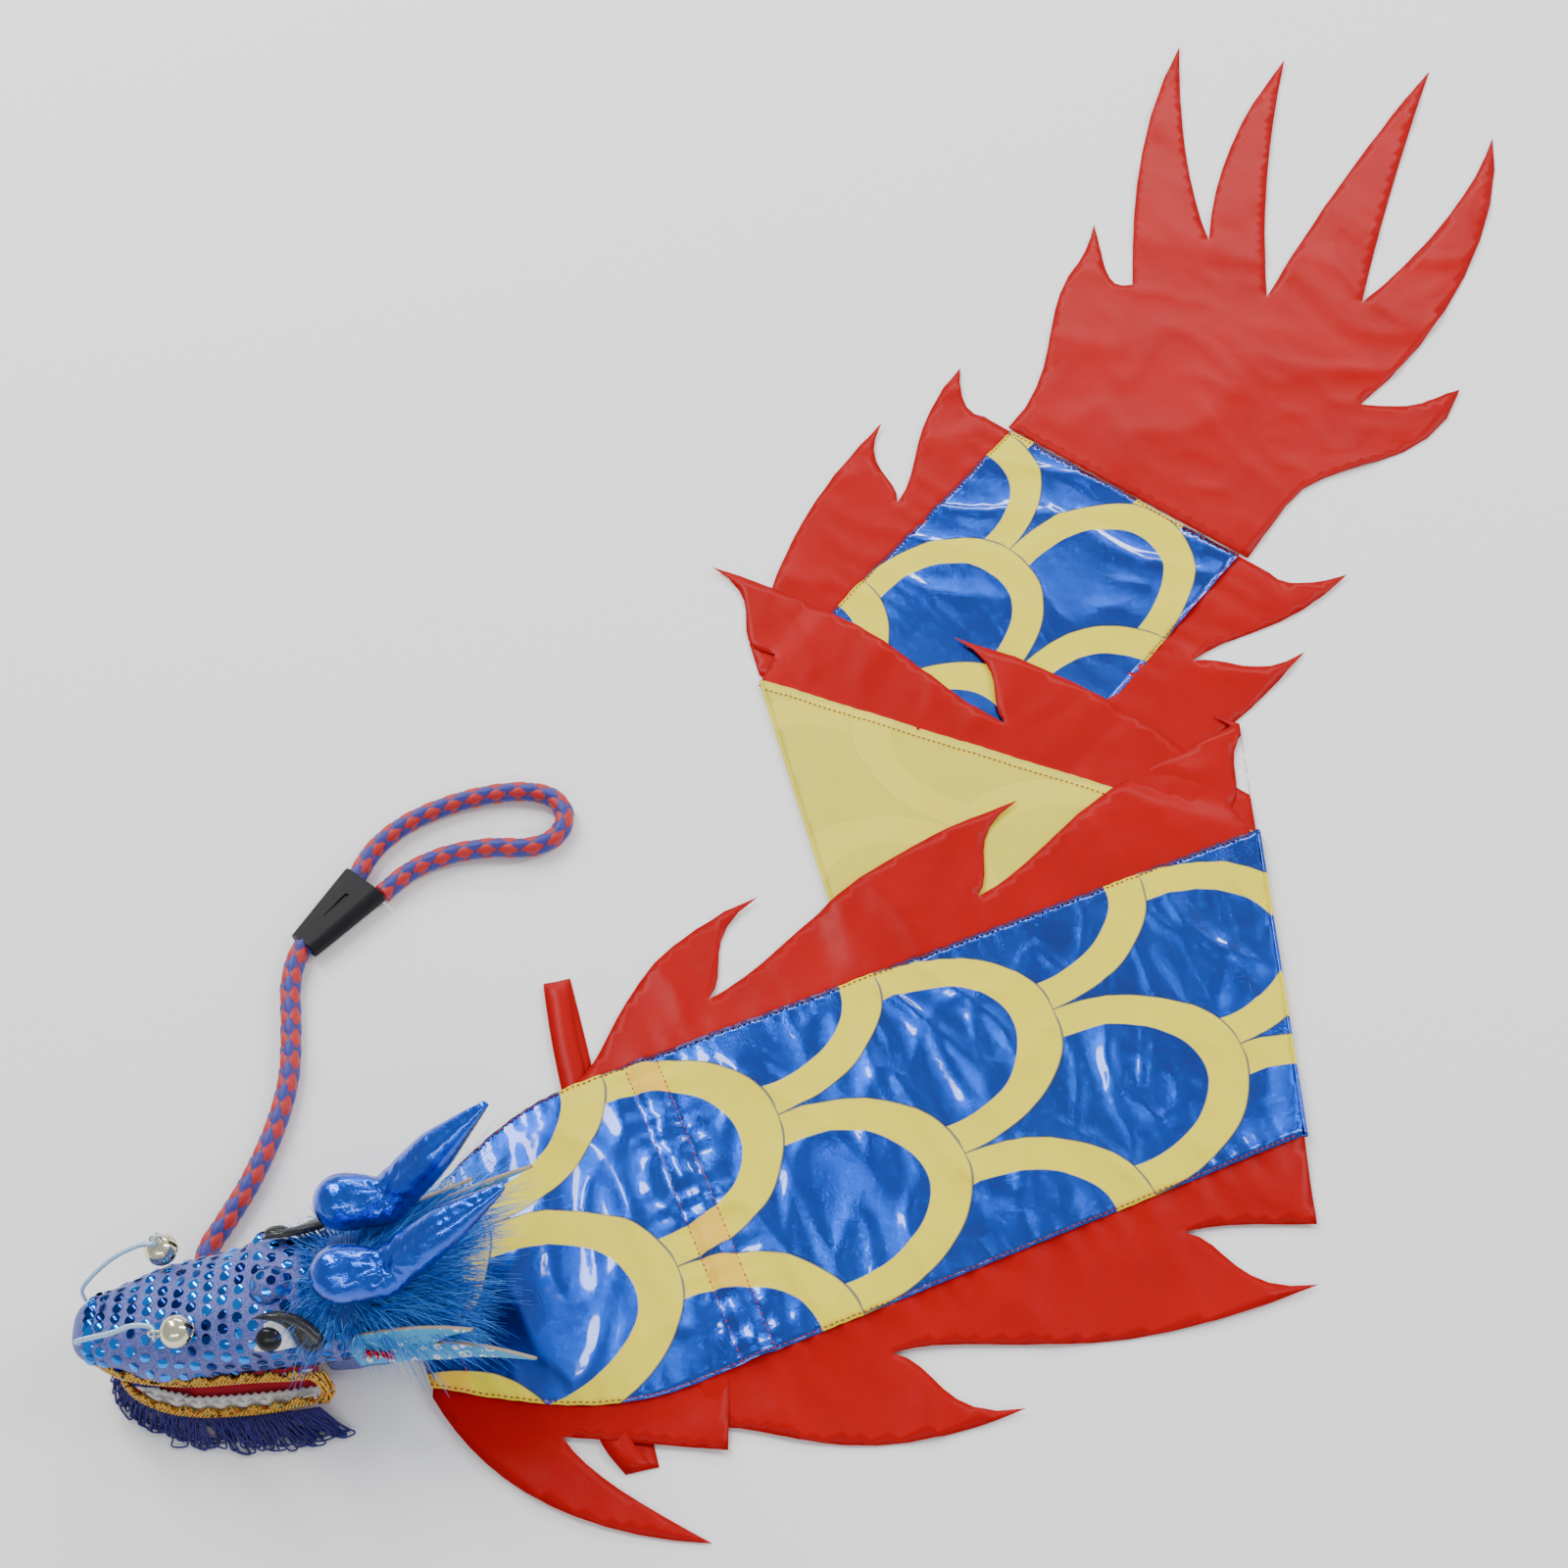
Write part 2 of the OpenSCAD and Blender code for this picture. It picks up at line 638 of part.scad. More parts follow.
// ---------------------------------------------------------------- leash
rope_r = rope_d / 2;
rope_z = 7;
leash_route = [
  [-382, -433.6], [-397, -434.6], [-411, -437], [-428, -442], [-445, -449], [-462, -452], [-477, -446],
  [-485, -433], [-484, -417], [-476, -401], [-464, -376], [-453, -342], [-448, -309], [-450, -274],
  [-453, -244], [-449, -220], [-434, -197], [-419, -170], [-407, -146], [-387, -127], [-360, -114],
  [-333, -107], [-308, -106], [-290, -113], [-283, -128], [-289, -143], [-306, -150], [-332, -149],
  [-358, -153], [-382, -164], [-400, -181]
];
ferrule_low = [-447, -217];
ferrule_high = [-411, -174];

module leash_rope() {
  route = smooth_route([for (p = leash_route) [p.x, p.y, rope_z]], 2);
  color("crimson") swept_tube(route, rope_r, 12, [0, 0, 1]);
}
// Collar sewn beside the throat pad, with the rope's end fixed in it
module leash_anchor() {
  collar_r = rope_r + 1;
  color("#222326") head_floor_frame() translate([6, -pad_half - 0.3 - collar_r, collar_r + 0.1])
    rotate([0, 90, 0]) cylinder(r = collar_r, h = 14);
}
module rope_ferrule() {
  run = ferrule_high - ferrule_low;
  ferrule_len = norm(run);
  color("#222326") translate([ferrule_low.x, ferrule_low.y, 0.5]) rotate(atan2(run.y, run.x)) difference() {
    hull() {
      translate([0, -5, 7]) rotate([0, 90, 0]) cylinder(r = 6, h = 2);
      translate([0, 5, 7]) rotate([0, 90, 0]) cylinder(r = 6, h = 2);
      translate([ferrule_len - 2, -10, 8]) rotate([0, 90, 0]) cylinder(r = 7.5, h = 2);
      translate([ferrule_len - 2, 10, 8]) rotate([0, 90, 0]) cylinder(r = 7.5, h = 2);
    }
    hull() {
      translate([22, 0, 13.6]) cylinder(r = 2, h = 5);
      translate([ferrule_len - 16, 0, 13.6]) cylinder(r = 2, h = 5);
    }
  }
}

rear_panel();
rear_left_fin();
rear_right_fin();
tail_flame();
middle_panel();
middle_upper_fin();
middle_lower_fin();
front_panel();
front_upper_fin();
front_lower_fin();
neck_casing();
neck_stay();
hoop_casing();
hoop_stay();
under_strap();
head_core();
head_cover();
throat_pad();
palate_lining();
upper_teeth();
upper_lip_trim();
left_eye_white();
right_eye_white();
left_pupil();
right_pupil();
left_eyelid();
right_eyelid();
fur_mane();
left_horn();
right_horn();
left_cheek_fin();
right_cheek_fin();
left_bow();
right_bow();
left_feeler();
right_feeler();
left_bell();
right_bell();
left_bell_pea();
right_bell_pea();
lower_jaw();
jaw_lining();
lower_teeth();
lower_lip_trim();
beard_fringe();
mouth_yarn();
leash_anchor();
leash_rope();
rope_ferrule();
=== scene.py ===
"""Looks for the dragon streamer: printed foil ribbon, satin flames, stuffed head and braided leash.

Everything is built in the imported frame. Lengths in this file are millimetres, and place functions such as
head() and front() turn them to metres.
"""

import math
import random

import bmesh
import bpy
import numpy as np
from mathutils import Matrix, Vector, geometry, noise
from mathutils.bvhtree import BVHTree


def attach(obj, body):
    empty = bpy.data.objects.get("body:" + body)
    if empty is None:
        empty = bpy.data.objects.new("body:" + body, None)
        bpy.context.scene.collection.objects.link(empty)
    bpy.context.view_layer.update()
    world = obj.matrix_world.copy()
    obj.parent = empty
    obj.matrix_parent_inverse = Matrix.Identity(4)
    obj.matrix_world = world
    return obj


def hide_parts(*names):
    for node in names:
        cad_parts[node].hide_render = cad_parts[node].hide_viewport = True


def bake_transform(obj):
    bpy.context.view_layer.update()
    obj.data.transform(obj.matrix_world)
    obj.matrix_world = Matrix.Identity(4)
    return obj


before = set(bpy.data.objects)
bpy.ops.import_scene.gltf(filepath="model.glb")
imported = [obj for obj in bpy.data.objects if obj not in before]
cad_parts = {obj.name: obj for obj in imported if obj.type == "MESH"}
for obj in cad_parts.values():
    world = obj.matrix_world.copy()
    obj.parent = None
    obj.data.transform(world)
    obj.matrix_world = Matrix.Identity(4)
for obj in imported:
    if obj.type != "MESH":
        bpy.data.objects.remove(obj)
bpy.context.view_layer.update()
MM = 0.001
UP = Vector((0, 0, 1))

# ---------------------------------------------------------------- camera
CAMERA_ELEVATION = 56
CAMERA_DISTANCE = 1380
CAMERA_ROLL = -2.6
CAMERA_LENS, CAMERA_SENSOR = 47.25, 36
CAMERA_TARGET = Vector((-137.0, -104.5, 0.0))


def add_camera():
    tilt = math.radians(CAMERA_ELEVATION)
    roll = math.radians(CAMERA_ROLL)
    forward = Vector((0, math.cos(tilt), -math.sin(tilt)))
    level = Vector((1, 0, 0))
    above = Vector((0, math.sin(tilt), math.cos(tilt)))
    right = level * math.cos(roll) + above * math.sin(roll)
    up = above * math.cos(roll) - level * math.sin(roll)
    data = bpy.data.cameras.new("camera")
    data.lens = CAMERA_LENS
    data.sensor_width = CAMERA_SENSOR
    camera = bpy.data.objects.new("camera", data)
    bpy.context.scene.collection.objects.link(camera)
    turn = Matrix((right, up, -forward)).transposed()
    seat = (CAMERA_TARGET - forward * CAMERA_DISTANCE) * MM
    camera.matrix_world = Matrix.Translation(seat) @ turn.to_4x4()
    bpy.context.scene.camera = camera


add_camera()

# ---------------------------------------------------------------- the layout, as in the CAD
HALF_W = 100
FRONT_LEN, MIDDLE_LEN, REAR_LEN = 571, 316, 373
FRONT_HEADING, MIDDLE_HEADING, REAR_HEADING = 20, 156, 49
NECK_U, TAPER_U, NECK_HALF = -565, -430, 45
HEAD_HEADING, HEAD_ROLL, HEAD_LIFT, HEAD_SHIFT = 184, 8, 5, 8
JAW_SHIFT, JAW_LIFT, JAW_DROOP = 14, 13, 6
LIP_CENTRE = 95


def heading(angle):
    return Vector((math.cos(math.radians(angle)), math.sin(math.radians(angle))))


FOLD_FRONT_ANGLE = (FRONT_HEADING + MIDDLE_HEADING) / 2
FOLD_REAR_ANGLE = (MIDDLE_HEADING + REAR_HEADING) / 2
FOLD_REAR_AT = -REAR_LEN / 2 * heading(REAR_HEADING)
FOLD_FRONT_AT = FOLD_REAR_AT - MIDDLE_LEN * heading(MIDDLE_HEADING)
NECK_AT = FOLD_FRONT_AT - FRONT_LEN * heading(FRONT_HEADING)


def length_frame(start, angle):
    """A length's own frame: u along the ribbon towards the tail, v to its left, w up."""
    along = heading(angle)

    def place(u, v, w):
        return Vector((start.x + u * along.x - v * along.y, start.y + u * along.y + v * along.x, w)) * MM
    return place


front = length_frame(FOLD_FRONT_AT, FRONT_HEADING)
middle = length_frame(FOLD_FRONT_AT, MIDDLE_HEADING)
rear = length_frame(FOLD_REAR_AT, REAR_HEADING)


def tail(u, v, w):
    return rear(REAR_LEN + u, v, w)


head_floor = length_frame(NECK_AT, HEAD_HEADING)


def leaning(roll, shift, lift):
    """A frame on the head's floor frame, rolled about the snout's line: x forward, y to the left, z up."""
    c, s = math.cos(math.radians(roll)), math.sin(math.radians(roll))
    return lambda x, y, z: head_floor(x, y * c - z * s + shift, y * s + z * c + lift)


head = leaning(HEAD_ROLL, HEAD_SHIFT, HEAD_LIFT)
jaw = leaning(-JAW_DROOP, JAW_SHIFT, JAW_LIFT)


def fold_u(v, fold_angle, angle):
    """Place along a length where a fold line crosses it at sideways place v."""
    return v / math.tan(math.radians(fold_angle - angle))


# ---------------------------------------------------------------- shader helpers
class Shader:
    """One Principled material and short calls for its nodes."""

    def __init__(self, name, color=(0.8, 0.8, 0.8), roughness=0.5, metallic=0.0, **sockets):
        self.material = bpy.data.materials.new(name)
        self.material.use_nodes = True
        self.tree = self.material.node_tree
        self.surface = self.tree.nodes["Principled BSDF"]
        self.set("Base Color", color)
        self.set("Roughness", roughness)
        self.set("Metallic", metallic)
        for socket, value in sockets.items():
            self.set(socket.replace("_", " "), value)

    def set(self, socket, value):
        if isinstance(value, bpy.types.NodeSocket):
            self.tree.links.new(value, self.surface.inputs[socket])
        elif isinstance(value, tuple) and len(value) == 3:
            self.surface.inputs[socket].default_value = (*value, 1)
        else:
            self.surface.inputs[socket].default_value = value

    def feed(self, target, value):
        if isinstance(value, bpy.types.NodeSocket):
            self.tree.links.new(value, target)
        elif isinstance(value, tuple) and len(value) == 3 and target.type == "RGBA":
            target.default_value = (*value, 1)
        else:
            target.default_value = value

    def math(self, operation, *values):
        node = self.tree.nodes.new("ShaderNodeMath")
        node.operation = operation
        for target, value in zip(node.inputs, values):
            self.feed(target, value)
        return node.outputs[0]

    def plus(self, a, b):
        return self.math("ADD", a, b)

    def minus(self, a, b):
        return self.math("SUBTRACT", a, b)

    def times(self, a, b):
        return self.math("MULTIPLY", a, b)

    def mix(self, share, a, b):
        node = self.tree.nodes.new("ShaderNodeMix")
        node.data_type = "RGBA"
        self.feed(node.inputs[0], share)
        self.feed(node.inputs[6], a)
        self.feed(node.inputs[7], b)
        return node.outputs[2]

    def step(self, value, low, high, out_low=0.0, out_high=1.0):
        node = self.tree.nodes.new("ShaderNodeMapRange")
        node.interpolation_type = "SMOOTHSTEP"
        for target, number in zip(node.inputs, (value, low, high, out_low, out_high)):
            self.feed(target, number)
        return node.outputs[0]

    def uv(self):
        """The two flat coordinates of a cloth, in millimetres."""
        node = self.tree.nodes.new("ShaderNodeUVMap")
        node.uv_map = "flat"
        parts = self.tree.nodes.new("ShaderNodeSeparateXYZ")
        self.tree.links.new(node.outputs[0], parts.inputs[0])
        return tuple(self.times(part, 1 / MM) for part in parts.outputs[:2])

    def vector(self, *parts):
        node = self.tree.nodes.new("ShaderNodeCombineXYZ")
        for target, value in zip(node.inputs, parts):
            self.feed(target, value)
        return node.outputs[0]

    def place(self):
        """Object coordinates in millimetres."""
        node = self.tree.nodes.new("ShaderNodeTexCoord")
        grow = self.tree.nodes.new("ShaderNodeVectorMath")
        grow.operation = "SCALE"
        self.tree.links.new(node.outputs["Object"], grow.inputs[0])
        grow.inputs["Scale"].default_value = 1 / MM
        return grow.outputs[0]

    def noise(self, where, size, detail=2.0, rough=0.5):
        node = self.tree.nodes.new("ShaderNodeTexNoise")
        self.tree.links.new(where, node.inputs["Vector"])
        node.inputs["Scale"].default_value = 1.0 / size
        node.inputs["Detail"].default_value = detail
        node.inputs["Roughness"].default_value = rough
        return node.outputs[0]

    def cells(self, where, size):
        """Distance to the nearest of scattered points about size apart."""
        node = self.tree.nodes.new("ShaderNodeTexVoronoi")
        self.tree.links.new(where, node.inputs["Vector"])
        node.inputs["Scale"].default_value = 1.0 / size
        return node.outputs["Distance"]

    def mottle(self, where, size, dark, light, detail=2.0):
        """Base colour that drifts between two tones."""
        self.set("Base Color", self.mix(self.noise(where, size, detail), dark, light))

    def bump(self, height, strength, depth_mm):
        node = self.tree.nodes.new("ShaderNodeBump")
        node.inputs["Strength"].default_value = strength
        node.inputs["Distance"].default_value = depth_mm * MM
        self.tree.links.new(height, node.inputs["Height"])
        self.tree.links.new(node.outputs[0], self.surface.inputs["Normal"])


# ---------------------------------------------------------------- mesh helpers
def worn(obj, body, *nodes):
    """Puts a finished piece on its body, in place of CAD nodes if any are named."""
    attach(obj, body)
    if nodes:
        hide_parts(*nodes)
    return obj


def grid_faces(rows, columns):
    """Faces between neighbouring points of a grid that is stored row by row."""
    return [(k * columns + j, k * columns + j + 1, (k + 1) * columns + j + 1, (k + 1) * columns + j)
            for k in range(rows - 1) for j in range(columns - 1)]


def ring(centre, side, across, radius, count):
    """Points of a circle, in metres; side and across are the unit directions of its plane."""
    return [centre + (side * math.cos(a) + across * math.sin(a)) * radius
            for a in (2 * math.pi * j / count for j in range(count))]


def add_mesh(name, points, faces, shader, smooth=True):
    mesh = bpy.data.meshes.new(name)
    mesh.from_pydata([tuple(p) for p in points], [], faces)
    mesh.update()
    mesh.polygons.foreach_set("use_smooth", [smooth] * len(mesh.polygons))
    obj = bpy.data.objects.new(name, mesh)
    bpy.context.scene.collection.objects.link(obj)
    if shader:
        mesh.materials.append(shader.material)
    return obj


def add_uv(obj, flat):
    """Gives every corner its vertex's flat coordinates, in metres."""
    layer = obj.data.uv_layers.new(name="flat")
    corners = np.array([loop.vertex_index for loop in obj.data.loops])
    layer.data.foreach_set("uv", (np.array(flat, float)[corners] * MM).ravel())


def thicken(obj, thickness, offset=0.0):
    modifier = obj.modifiers.new("thickness", "SOLIDIFY")
    modifier.thickness = thickness * MM
    modifier.offset = offset
    return obj


def applied(obj):
    """Replaces an object's mesh by its evaluated one and drops the modifiers."""
    bpy.context.view_layer.update()
    seen = obj.evaluated_get(bpy.context.evaluated_depsgraph_get())
    mesh = bpy.data.meshes.new_from_object(seen)
    obj.modifiers.clear()
    obj.data = mesh
    return obj


def inside(points, outline):
    """Which of an array of points lie in a closed outline."""
    x, y = points[:, 0], points[:, 1]
    found = np.zeros(len(points), bool)
    for (x0, y0), (x1, y1) in zip(outline, outline[1:] + outline[:1]):
        if y0 == y1:
            continue
        crosses = ((y0 > y) != (y1 > y)) & (x < (x1 - x0) * (y - y0) / (y1 - y0) + x0)
        found ^= crosses
    return found


def edge_distance(points, outline):
    """Distance from each point to the outline's nearest edge."""
    best = np.full(len(points), 1e9)
    for a, b in zip(outline, outline[1:] + outline[:1]):
        a, b = np.array(a, float), np.array(b, float)
        run = b - a
        share = np.clip(((points - a) @ run) / max(run @ run, 1e-9), 0, 1)
        best = np.minimum(best, np.linalg.norm(points - a - share[:, None] * run, axis=1))
    return best


def resampled(outline, step):
    """The outline with extra points, none further apart than step."""
    points = []
    for a, b in zip(outline, outline[1:] + outline[:1]):
        count = max(1, math.ceil(math.dist(a, b) / step))
        points += [(a[0] + (b[0] - a[0]) * k / count, a[1] + (b[1] - a[1]) * k / count) for k in range(count)]
    return points


ROW_SHARE = 0.866


def filled(outline, step):
    """Even triangles that fill a flat outline: (points, faces)."""
    edge = resampled(outline, step)
    low = np.min(edge, axis=0)
    high = np.max(edge, axis=0)
    rows = np.arange(low[1] + step / 2, high[1], step * ROW_SHARE)
    grid = np.array([(x + (k % 2) * step / 2, y) for k, y in enumerate(rows)
                     for x in np.arange(low[0], high[0], step)])
    grid = grid[inside(grid, edge)]
    grid = grid[edge_distance(grid, edge) > step * 0.5]
    points = [Vector(p) for p in edge] + [Vector(p) for p in grid]
    rim = [(k, (k + 1) % len(edge)) for k in range(len(edge))]
    made = geometry.delaunay_2d_cdt(points, rim, [], 1, 1e-4)
    return [tuple(p) for p in made[0]], [tuple(f) for f in made[2]]


def cloth(name, outline, step, place, height, shader, thickness=0.4, print_at=None, under=None):
    """A cloth cut to a flat outline, placed by a length's frame at height(u, v).

    under is the look of its lower face, where that differs.
    """
    flat, faces = filled(outline, step)
    obj = add_mesh(name, [place(u, v, height(u, v)) for u, v in flat], faces, shader)
    if obj.data.polygons and sum(f.normal.z for f in obj.data.polygons) < 0:
        obj.data.flip_normals()
    add_uv(obj, [print_at(u, v) if print_at else (u, v) for u, v in flat])
    if under:
        obj.data.materials.append(under.material)
        thicken(obj, thickness, -1.0).modifiers["thickness"].material_offset = 1
        return obj
    return thicken(obj, thickness)


def tube_faces(count, sides):
    """Faces of a tube of rings, with an end cap on both ends."""
    faces = []
    for k in range(count - 1):
        a, b = k * sides, (k + 1) * sides
        faces += [(a + j, a + (j + 1) % sides, b + (j + 1) % sides, b + j) for j in range(sides)]
    faces.append(tuple(reversed(range(sides))))
    faces.append(tuple(range((count - 1) * sides, count * sides)))
    return faces


def tube(points, radius, sides, taper=None):
    """Rings of a tube along points: (vertices, faces). taper(share) scales the radius."""
    count = len(points)
    verts = []
    side = None
    for k, p in enumerate(points):
        run = (points[min(k + 1, count - 1)] - points[max(k - 1, 0)]).normalized()
        if side is None:
            side = run.cross(UP)
            if side.length < 1e-4:
                side = run.cross(Vector((1, 0.3, 0)))
        side = (side - run * side.dot(run)).normalized()
        r = radius * (taper(k / (count - 1)) if taper else 1)
        verts += ring(p, side, side.cross(run), r, sides)
    return verts, tube_faces(count, sides)


def add_tubes(name, lines, radius, sides, shader, taper=None):
    """Many tubes as one mesh; each line is a list of points in metres."""
    verts, faces = [], []
    for line in lines:
        more, sides_of = tube(line, radius * MM, sides, taper=taper)
        faces += [tuple(i + len(verts) for i in f) for f in sides_of]
        verts += more
    return add_mesh(name, verts, faces, shader)


def spline(points, steps):
    """A smooth line through listed points, as in the CAD."""
    line = []
    last = len(points) - 1
    for k in range(last):
        a, b, c, d = (np.array(points[i], float) for i in (max(k - 1, 0), k, k + 1, min(k + 2, last)))
        for j in range(steps):
            t = j / steps
            line.append(0.5 * (2 * b + (c - a) * t + (2 * a - 5 * b + 4 * c - d) * t * t
                               + (3 * b - a - 3 * c + d) * t ** 3))
    line.append(np.array(points[-1], float))
    return line


def bend_points(a, c1, c2, b, count):
    """Points of a cubic curve after its start."""
    line = []
    for k in range(1, count + 1):
        t = k / count
        s = 1 - t
        line.append(tuple(s ** 3 * p + 3 * s * s * t * q + 3 * s * t * t * r + t ** 3 * w
                          for p, q, r, w in zip(a, c1, c2, b)))
    return line


def arc_points(a, c, b, count):
    """Points of a quadratic curve after its start."""
    return [tuple((1 - t) ** 2 * p + 2 * t * (1 - t) * q + t * t * r for p, q, r in zip(a, c, b))
            for t in (k / count for k in range(1, count + 1))]


def traced(start, *curves):
    """A line of curves end to end; each is one or two pull points, its end and its count of points."""
    line = [start]
    for *pulls, end, count in curves:
        curve = bend_points if len(pulls) == 2 else arc_points
        line += curve(line[-1], *pulls, end, count)
    return line


def ridge(x, y, z=0.0):
    """Sharp crests between 0 and 1, like creases in foil."""
    return 1 - min(1.0, abs(noise.noise(Vector((x, y, z)))) * 2.2)


def smooth_step(value, low, high):
    t = min(1.0, max(0.0, (value - low) / (high - low)))
    return t * t * (3 - 2 * t)


# ---------------------------------------------------------------- cloth materials
HOOP_U, CASING_W = -399, 20
CASING_U = NECK_U + 1
SCALE_RUN, SCALE_HALF = 91.6, 66.3
BAND_TIP, BAND_SIDE = 27.0, 20.0
FIRST_TIP, FIRST_ROW = -322.2, 33.2


def scale_print(shader):
    """(1 in a scale's yellow band and 0 on foil, 1 on the thin line round a scale)."""
    s, v = shader.uv()
    drift = shader.noise(shader.vector(s, v, 0.0), 70.0, 1.0)
    s = shader.plus(s, shader.times(shader.minus(drift, 0.5), 14.0))
    x = shader.math("DIVIDE", shader.minus(s, FIRST_TIP - SCALE_RUN), SCALE_RUN)
    row = shader.math("FLOOR", x)
    t = shader.math("FRACT", x)
    row_v = shader.times(row, SCALE_HALF)
    shift = shader.minus(shader.minus(v, FIRST_ROW), row_v)
    across = shader.math("PINGPONG", shift, SCALE_HALF)

    def ellipse(run, half):
        a = shader.math("POWER", shader.times(t, SCALE_RUN / run), 2.0)
        b = shader.math("POWER", shader.math("DIVIDE", across, half), 2.0)
        return shader.math("SQRT", shader.plus(a, b))

    outer = ellipse(SCALE_RUN, SCALE_HALF)
    inner = ellipse(SCALE_RUN - BAND_TIP, SCALE_HALF - BAND_SIDE)
    in_scale = shader.step(outer, 1.003, 0.997)
    in_foil = shader.step(inner, 1.01, 0.99)
    leg = shader.step(across, BAND_SIDE + 0.4, BAND_SIDE - 0.4)
    band = shader.minus(1.0, in_foil)
    yellow = shader.plus(shader.times(in_scale, band), shader.times(shader.minus(1.0, in_scale), leg))
    line = shader.step(shader.math("ABSOLUTE", shader.minus(outer, 1.0)), 0.012, 0.004)
    return yellow, line


WEAVE = 0.5
YELLOW = (0.8, 0.64, 0.004)
DOUBLED = (0.92, 0.5, 0.02)
FOIL = (0.0012, 0.035, 0.36)


def printed_foil():
    shader = Shader("printed_foil")
    yellow, line = scale_print(shader)
    where = shader.place()
    tint = shader.noise(where, 90.0, 3.0)
    foil = shader.mix(tint, FOIL, (0.002, 0.085, 0.56))
    cloth_tint = shader.mix(shader.noise(where, 45.0, 2.0), YELLOW, (0.86, 0.72, 0.012))
    s, _ = shader.uv()
    for start in (HOOP_U, CASING_U):
        from_middle = shader.math("ABSOLUTE", shader.minus(s, start + CASING_W / 2))
        doubled = shader.step(from_middle, CASING_W / 2 + 0.5, CASING_W / 2 - 0.5)
        cloth_tint = shader.mix(shader.times(doubled, 0.75), cloth_tint, DOUBLED)
    color = shader.mix(yellow, foil, cloth_tint)
    shader.set("Base Color", shader.mix(shader.times(line, 0.85), color, (0.03, 0.05, 0.12)))
    shader.set("Metallic", shader.minus(1.0, yellow))
    rough = shader.step(shader.noise(where, 12.0, 4.0), 0.35, 0.7, 0.13, 0.24)
    shader.set("Roughness", shader.plus(rough, shader.times(yellow, 0.35)))
    weave = shader.times(shader.noise(where, WEAVE, 1.0), 0.25)
    shader.bump(shader.plus(shader.noise(where, 30.0, 4.0, 0.55), weave), 0.4, 1.6)
    shader.set("Coat Weight", shader.minus(1.0, yellow))
    shader.set("Coat Roughness", 0.07)
    return shader


def ribbon_reverse():
    shader = Shader("ribbon_reverse", roughness=0.5)
    yellow, line = scale_print(shader)
    where = shader.place()
    ghost = shader.times(shader.minus(1.0, yellow), 0.42)
    base = shader.mix(shader.noise(where, 60.0, 2.0), (0.78, 0.64, 0.012), (0.84, 0.71, 0.03))
    color = shader.mix(ghost, base, (0.56, 0.5, 0.012))
    shader.set("Base Color", shader.mix(shader.times(line, 0.3), color, (0.4, 0.4, 0.1)))
    weave = shader.times(shader.noise(where, WEAVE, 1.0), 0.3)
    shader.bump(shader.plus(shader.noise(where, 20.0, 4.0), weave), 0.5, 0.9)
    shader.set("Sheen Weight", 0.2)
    return shader


def satin(name, color, light):
    shader = Shader(name, roughness=0.36)
    where = shader.place()
    shader.mottle(where, 55.0, color, light, 3.0)
    weave = shader.times(shader.noise(where, 0.45, 1.0), 0.25)
    shader.bump(shader.plus(shader.noise(where, 18.0, 4.0), weave), 0.45, 0.8)
    shader.set("Specular IOR Level", 0.14)
    return shader


PRINT = printed_foil()
REVERSE = ribbon_reverse()
SATIN = satin("red_satin", (0.34, 0.0, 0.0004), (0.46, 0.0, 0.0008))
THREAD = Shader("thread", roughness=0.6)
THREAD.mottle(THREAD.place(), 3.0, (0.3, 0.008, 0.01), (0.5, 0.02, 0.02))
THREAD.bump(THREAD.noise(THREAD.place(), 0.4), 0.6, 0.2)

# ---------------------------------------------------------------- layers and heights
REAR_Z, MIDDLE_Z, FRONT_Z = 0.9, 3.6, 6.8
CLOTH_T, SATIN_T = 0.4, 0.35


def corners(place, outline):
    return [tuple(p / MM for p in place(u, v, 0)[:2]) for u, v in outline]


FRONT_END = fold_u(HALF_W, FOLD_FRONT_ANGLE, FRONT_HEADING)
MIDDLE_START = fold_u(HALF_W, FOLD_FRONT_ANGLE, MIDDLE_HEADING)
MIDDLE_END = fold_u(HALF_W, FOLD_REAR_ANGLE, MIDDLE_HEADING)
REAR_START = fold_u(HALF_W, FOLD_REAR_ANGLE, REAR_HEADING)

REAR_OUTLINE = [(-REAR_START, -HALF_W), (REAR_LEN - 1, -HALF_W), (REAR_LEN - 1, HALF_W), (REAR_START, HALF_W)]
MIDDLE_OUTLINE = [(-MIDDLE_START, -HALF_W), (MIDDLE_LEN - MIDDLE_END, -HALF_W),
                  (MIDDLE_LEN + MIDDLE_END, HALF_W), (MIDDLE_START, HALF_W)]


def neck_half(u):
    """Half of the ribbon's width, which widens behind the neck."""
    if u >= TAPER_U:
        return HALF_W
    share = (u - NECK_U) / (TAPER_U - NECK_U)
    return NECK_HALF + (HALF_W - NECK_HALF) * math.sin(math.pi / 2 * share)


NECK_STATIONS = [NECK_U + (TAPER_U - NECK_U) * k / 10 for k in range(11)]
FRONT_OUTLINE = ([(u, -neck_half(u)) for u in NECK_STATIONS] + [(-FRONT_END, -HALF_W), (FRONT_END, HALF_W)]
                 + [(u, neck_half(u)) for u in reversed(NECK_STATIONS)])

REAR_AREA = corners(rear, REAR_OUTLINE)
MIDDLE_AREA = corners(middle, MIDDLE_OUTLINE)


def cover(area, x, y, soft=12.0):
    """1 well inside an area, 0 well outside it, with a soft edge."""
    here = np.array([(x, y)])
    gap = edge_distance(here, area)[0]
    if not inside(here, area)[0]:
        gap = -gap
    return smooth_step(gap, -soft, soft * 0.2)


